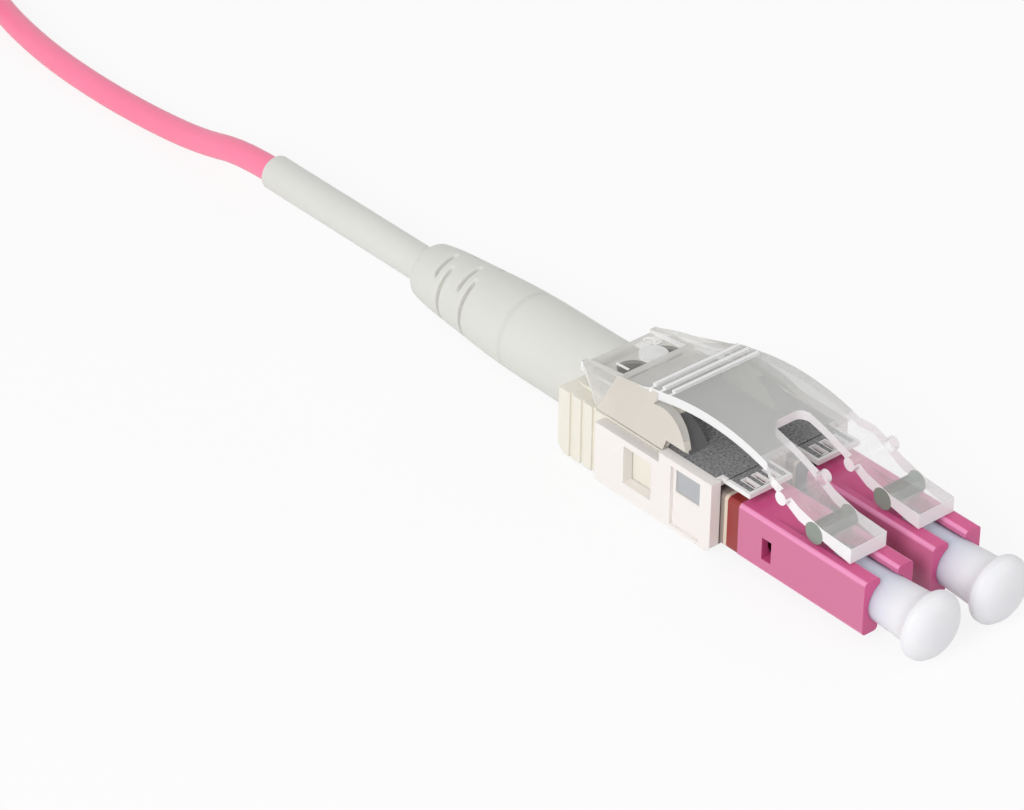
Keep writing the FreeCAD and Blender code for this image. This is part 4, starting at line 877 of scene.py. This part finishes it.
class LCF_OT_Caps(bpy.types.Operator):
    """Translucent dust caps with rounded knobs"""

    bl_idname = "lcf.caps"
    bl_label = "Dust caps"

    def execute(self, context):
        colour = context.scene.lcf_plugs.cap
        bluish = [((0, 1, 0), NECK_START, NECK_WIDTH, (0.60, 0.65, 0.76))]
        for start, body in (("", "cap"), ("far_", None)):
            milky = plastic(f"{start}cap_plastic", colour, tone=0.03, speckle=0.015, gloss=0.5,
                            soft=0.8, depth=0.003, dress=with_zones(bluish, bool(start)))
            for hand in HANDS:
                node_name = f"{start}dust_cap_{hand}"
                piece = self.cap(f"{start}cap_{hand}_skin", node_name)
                ride_on = f"{body}_{hand}" if body else "connector"
                finish_piece(piece, milky, ride_on, "cap_clear", node_name)
        return {"FINISHED"}

    def cap(self, name, node_name):
        """Turned plug: blind bore, neck, flared shoulder and rounded knob, as a closed half
        section carried round the plug's axis."""
        a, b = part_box(node_name)
        tip, inwards = (a.y, 1) if a.y < 0 else (b.y, -1)
        outside = rounded(CAP_OUTSIDE, CAP_ROUNDING, steps=8)
        bore = rounded(CAP_BORE, [0.12])
        section = np.vstack([outside[:-1], [CAP_CROWN], outside[-1:], bore[:-1]])
        section[:, 0] = tip + inwards * section[:, 0] * MM
        section[:, 1] *= MM
        return lathe(name, section, *axis_of(node_name))


class LCF_OT_Shell(bpy.types.Operator):
    """Finishes of the lower housing, deck, carrier and saddle"""

    bl_idname = "lcf.shell"
    bl_label = "Shell"

    def execute(self, context):
        colours = context.scene.lcf_shell
        # Painted shade: the lowest band of the lower housing, a step that faces down and out, is
        # darkened.
        foot_shade = [((0, 0, -1), FOOT_SHADE_START, FOOT_SHADE_WIDTH, (0.70, 0.68, 0.67))]
        lower = plastic("lower_milky_plastic", colours.lower, tone=0.05, speckle=0.02,
                        dimple=0.03, soft=0.1, dress=with_zones(foot_shade, False))
        cream = plastic("carrier_plastic", colours.carrier, tone=0.05, gloss=0.4, dimple=0.05,
                        soft=0.2)
        for start in ("", "far_"):
            finish_node(f"{start}lower_housing", lower)
            deck = plastic(f"{start}speckled_deck", colours.deck, tone=0.9, speckle=2.6,
                           grain=5200.0, gloss=0.5, dimple=0.2,
                           dress=with_tab_rims((0.86, 0.86, 0.85), bool(start)))
            finish_node(f"{start}deck", deck)
            finish_node(f"{start}carrier", cream)
            # Painted shade: faces of the saddle that look forwards are painted the dark of the
            # shaded deck beneath the arch.
            front = [((0, -1, 0), FRONT_SHADE_START, FRONT_SHADE_WIDTH, (0.13, 0.13, 0.135))]
            saddle = plastic(f"{start}saddle_plastic", colours.carrier, tone=0.05, gloss=0.4,
                             dimple=0.05, dress=with_zones(front, bool(start), True))
            finish_node(f"{start}saddle", saddle)
        return {"FINISHED"}


class LCF_OT_Cover(bpy.types.Operator):
    """Clear moulding of the latch cover"""

    bl_idname = "lcf.cover"
    bl_label = "Latch cover"

    def execute(self, context):
        colours = context.scene.lcf_shell
        for start in ("", "far_"):
            clear = plastic(f"{start}clear_cover_plastic", colours.cover, tone=0.04,
                            speckle=0.02, gloss=0.16, dress=with_clear_film(bool(start)))
            finish_node(f"{start}latch_cover", clear)
        return {"FINISHED"}


class LCF_OT_Boot(bpy.types.Operator):
    """Boot with its flex grooves, label sleeve, crimp parts and the hank's tie"""

    bl_idname = "lcf.boot"
    bl_label = "Boot and sleeve"

    def execute(self, context):
        colour = context.scene.lcf_boot.colour
        rubber = plastic("boot_rubber", colour, tone=0.04, gloss=0.42, dimple=0.06, soft=0.2,
                         depth=0.0012)
        paper = plastic("sleeve_plastic", [c * 1.02 for c in colour], tone=0.04, speckle=0.02,
                        gloss=0.34, dimple=0.04, soft=0.2)
        tie = plastic("tie_plastic", (0.8, 0.8, 0.8), gloss=0.4)
        plated = metal("plated_crimp", (0.60, 0.57, 0.50))
        pink = plastic("core_jacket", context.scene.lcf_cord.colour, gloss=0.38)
        for start in ("", "far_"):
            finish_piece(self.boot(start), rubber, "connector", "boot_white", f"{start}boot")
        finish_piece(self.sleeve(), paper, "connector", "sleeve_white", "label_sleeve")
        for name, material in (("coil_tie", tie), ("cable_post", plated),
                               ("crimp_sleeve", plated), ("cord_core", pink)):
            finish_node(name, material)
        return {"FINISHED"}

    def boot(self, start):
        """Turned boot whose outer radius is lowered in soft grooves.

        P(i, v) = (x + s r cos v, y_0 + s y_i, z + r sin v), with s = 1 for the near boot and -1
        for the far one. r is r_i, less d min(2 notch, 1) arc(v) in each groove and d notch at the
        parting line. notch is (1 + cos(2 pi t)) / 2 for t = (y - middle) / width between -1/2
        and 1/2, and arc falls evenly from 1 to 0 at the ends of the groove's sweep.
        """
        a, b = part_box(f"{start}boot")
        x, z = axis_of(f"{start}boot")
        origin, sense = (b.y, -1) if start else (a.y, 1)
        length = BOOT_LENGTH
        corners = [(0, SOCKET_RADIUS), (0, BOOT_OUTER), (BOOT_STRAIGHT, BOOT_OUTER),
                   (length - TAIL_LENGTH, BOOT_TAIL), (length, BOOT_REAR), (length, BOOT_BORE)]
        line = rounded(corners, BOOT_ROUNDING, steps=12)
        # Few rows along the straight part and many through the grooves.
        rows = [np.linspace(0, BOOT_STRAIGHT + 2, 30),
                np.linspace(BOOT_STRAIGHT + 2.05, length - 2, 170)]
        head = line[line[:, 0] < FRONT_EDGE]
        y = np.unique(np.concatenate([line[line[:, 0] > FRONT_EDGE, 0], *rows]))
        y = y[(y > FRONT_EDGE) & (y < length - 1e-6)]
        body = np.c_[y, np.interp(y, line[:, 0], line[:, 1])]
        end = line[line[:, 0] > length - 1e-6]
        section = np.vstack([head, body, end, [(SOCKET_DEPTH, BOOT_BORE),
                                               (SOCKET_DEPTH, SOCKET_RADIUS)]])
        v = np.linspace(0, 2 * math.pi, BOOT_TURNS, endpoint=False)
        outside = section[:, 1:] > GROOVED_ABOVE
        radius = section[:, 1:] - self.grooves(section[:, 0], v) * outside
        along = origin + sense * section[:, :1] * MM + 0 * v
        points = np.stack([x + sense * radius * np.cos(v) * MM, along,
                           z + radius * np.sin(v) * MM], -1)
        return surface(f"{start}boot_skin", points, wrap_u=True)

    def grooves(self, y, v):
        """Depth of the flex grooves and of the parting line at each y and angle v."""
        def notch(middle, width):
            s = (y - middle) / width
            return np.where(np.abs(s) < 0.5, (1 + np.cos(2 * math.pi * s)) / 2, 0)[:, None]

        depth = np.zeros((len(y), len(v)))
        for first, middle, sweep in GROOVES:
            turned = np.abs((v - math.radians(middle) + math.pi / 2) % math.pi - math.pi / 2)
            arc = np.clip((math.radians(sweep / 2) - turned) / GROOVE_FADE + 0.5, 0, 1)
            for place in (first, first + GROOVE_PITCH):
                cut = np.clip(2 * notch(place + GROOVE_MIDDLE, GROOVE_WIDTH), 0, 1)
                depth += GROOVE_DEPTH * cut * arc
        return depth + SEAM_DEPTH * notch(SEAM, SEAM_WIDTH)

    def sleeve(self):
        """Plain tube round the cord, with its ends slightly rounded, as the lathe's surface."""
        a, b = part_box("label_sleeve")
        outer = (b.z - a.z) / 2
        section = rounded([(a.y, SLEEVE_BORE), (a.y, outer), (b.y, outer), (b.y, SLEEVE_BORE)],
                          [0.0001, 0.0001])
        return lathe("sleeve_skin", section, 0, CORD_Z, wrap_u=True)


class LCF_OT_Marks(bpy.types.Operator):
    """Panes of the small side windows, and a numeral on each half of the cover's rear panel"""

    bl_idname = "lcf.marks"
    bl_label = "Panes and numerals"

    def execute(self, context):
        pane = plastic("pane_plastic", (0.44, 0.45, 0.47), tone=0.05, gloss=0.25)
        ink = plastic("numeral_plastic", (0.92, 0.92, 0.91), tone=0.02, gloss=0.25)
        for start in ("", "far_"):
            self.turned = bool(start)
            finish_piece(self.panes(f"{start}panes"), pane, "connector", "lower_milky")
            for text, x, y in FIGURES:
                body = "connector" if start else "latch"
                piece = self.numeral(f"{start}numeral_{text}", text, x, y)
                finish_piece(piece, ink, body, "cover_clear")
        return {"FINISHED"}

    def carry(self, points):
        """Points of the near connector, turned into the far one where that is being dressed."""
        points = np.asarray(points, float)
        return np.array(TURN) + points * (-1, -1, 1) if self.turned else points

    def panes(self, name):
        """Two thin plates behind the window of each sunk side panel."""
        corners, faces = [], []
        for hand in (-1, 1):
            for x in (PANE_INNER, PANE_OUTER):
                for y in PANE_Y:
                    corners += [(hand * x, y, z) for z in PANE_Z]
        for first in (0, 8):
            faces += [[first + k for k in quad] for quad in
                      ((0, 1, 3, 2), (4, 6, 7, 5), (0, 4, 5, 1), (2, 3, 7, 6), (0, 2, 6, 4),
                       (1, 5, 7, 3))]
        mesh = bpy.data.meshes.new(name)
        mesh.from_pydata(self.carry(corners).tolist(), [], faces)
        piece = add_object(name, mesh)
        recalculate(piece)
        return piece

    def numeral(self, name, text, x, y):
        """A raised figure lying on the slope of the rear panel."""
        data = bpy.data.curves.new(name, "FONT")
        data.body = text
        data.size = FIGURE_SIZE
        data.extrude = FIGURE_RAISE
        data.align_x, data.align_y = "CENTER", "CENTER"
        spare = bpy.data.objects.new(name, data)
        drawn = bpy.data.meshes.new_from_object(spare)
        points = np.zeros(len(drawn.vertices) * 3)
        drawn.vertices.foreach_get("co", points)
        points = points.reshape(-1, 3)
        height = PANEL_Z + PANEL_SLOPE * (PANEL_Y - (points[:, 1] + y))
        placed = np.c_[points[:, 0] + x, points[:, 1] + y, points[:, 2] + height]
        drawn.vertices.foreach_set("co", self.carry(placed).ravel())
        drawn.update()
        drawn.name = name
        bpy.data.objects.remove(spare)
        bpy.data.curves.remove(data)
        piece = add_object(name, drawn)
        recalculate(piece)
        return piece


OPERATORS = [LCF_OT_Stage, LCF_OT_Plugs, LCF_OT_Caps, LCF_OT_Shell, LCF_OT_Cover, LCF_OT_Boot,
             LCF_OT_Marks, LCF_OT_Cord]


class LCF_PT_Panel(bpy.types.Panel):
    """Lists the steps that dress the connector"""

    bl_idname = "LCF_PT_panel"
    bl_label = "Fibre connector"
    bl_space_type = "VIEW_3D"
    bl_region_type = "UI"
    bl_category = "Connector"

    def draw(self, context):
        for group in GROUPS:
            box = self.layout.box()
            for name in getattr(context.scene, group).bl_rna.properties.keys():
                if name not in ("rna_type", "name"):
                    box.prop(getattr(context.scene, group), name)
        for operator in OPERATORS:
            self.layout.operator(operator.bl_idname)


CLASSES = [*GROUPS.values(), *OPERATORS, LCF_PT_Panel]


def register():
    """Register the settings, operators and panel."""
    for item in CLASSES:
        bpy.utils.register_class(item)
    for name, group in GROUPS.items():
        setattr(bpy.types.Scene, name, PointerProperty(type=group))


def unregister():
    """Take them away again."""
    for name in GROUPS:
        delattr(bpy.types.Scene, name)
    for item in reversed(CLASSES):
        bpy.utils.unregister_class(item)


def main():
    """Run every step, with the cord last."""
    register()
    bpy.ops.lcf.stage()
    bpy.ops.lcf.plugs()
    bpy.ops.lcf.shell()
    bpy.ops.lcf.cover()
    bpy.ops.lcf.boot()
    bpy.ops.lcf.caps()
    bpy.ops.lcf.marks()
    bpy.ops.lcf.cord()


if __name__ == "__main__":
    main()
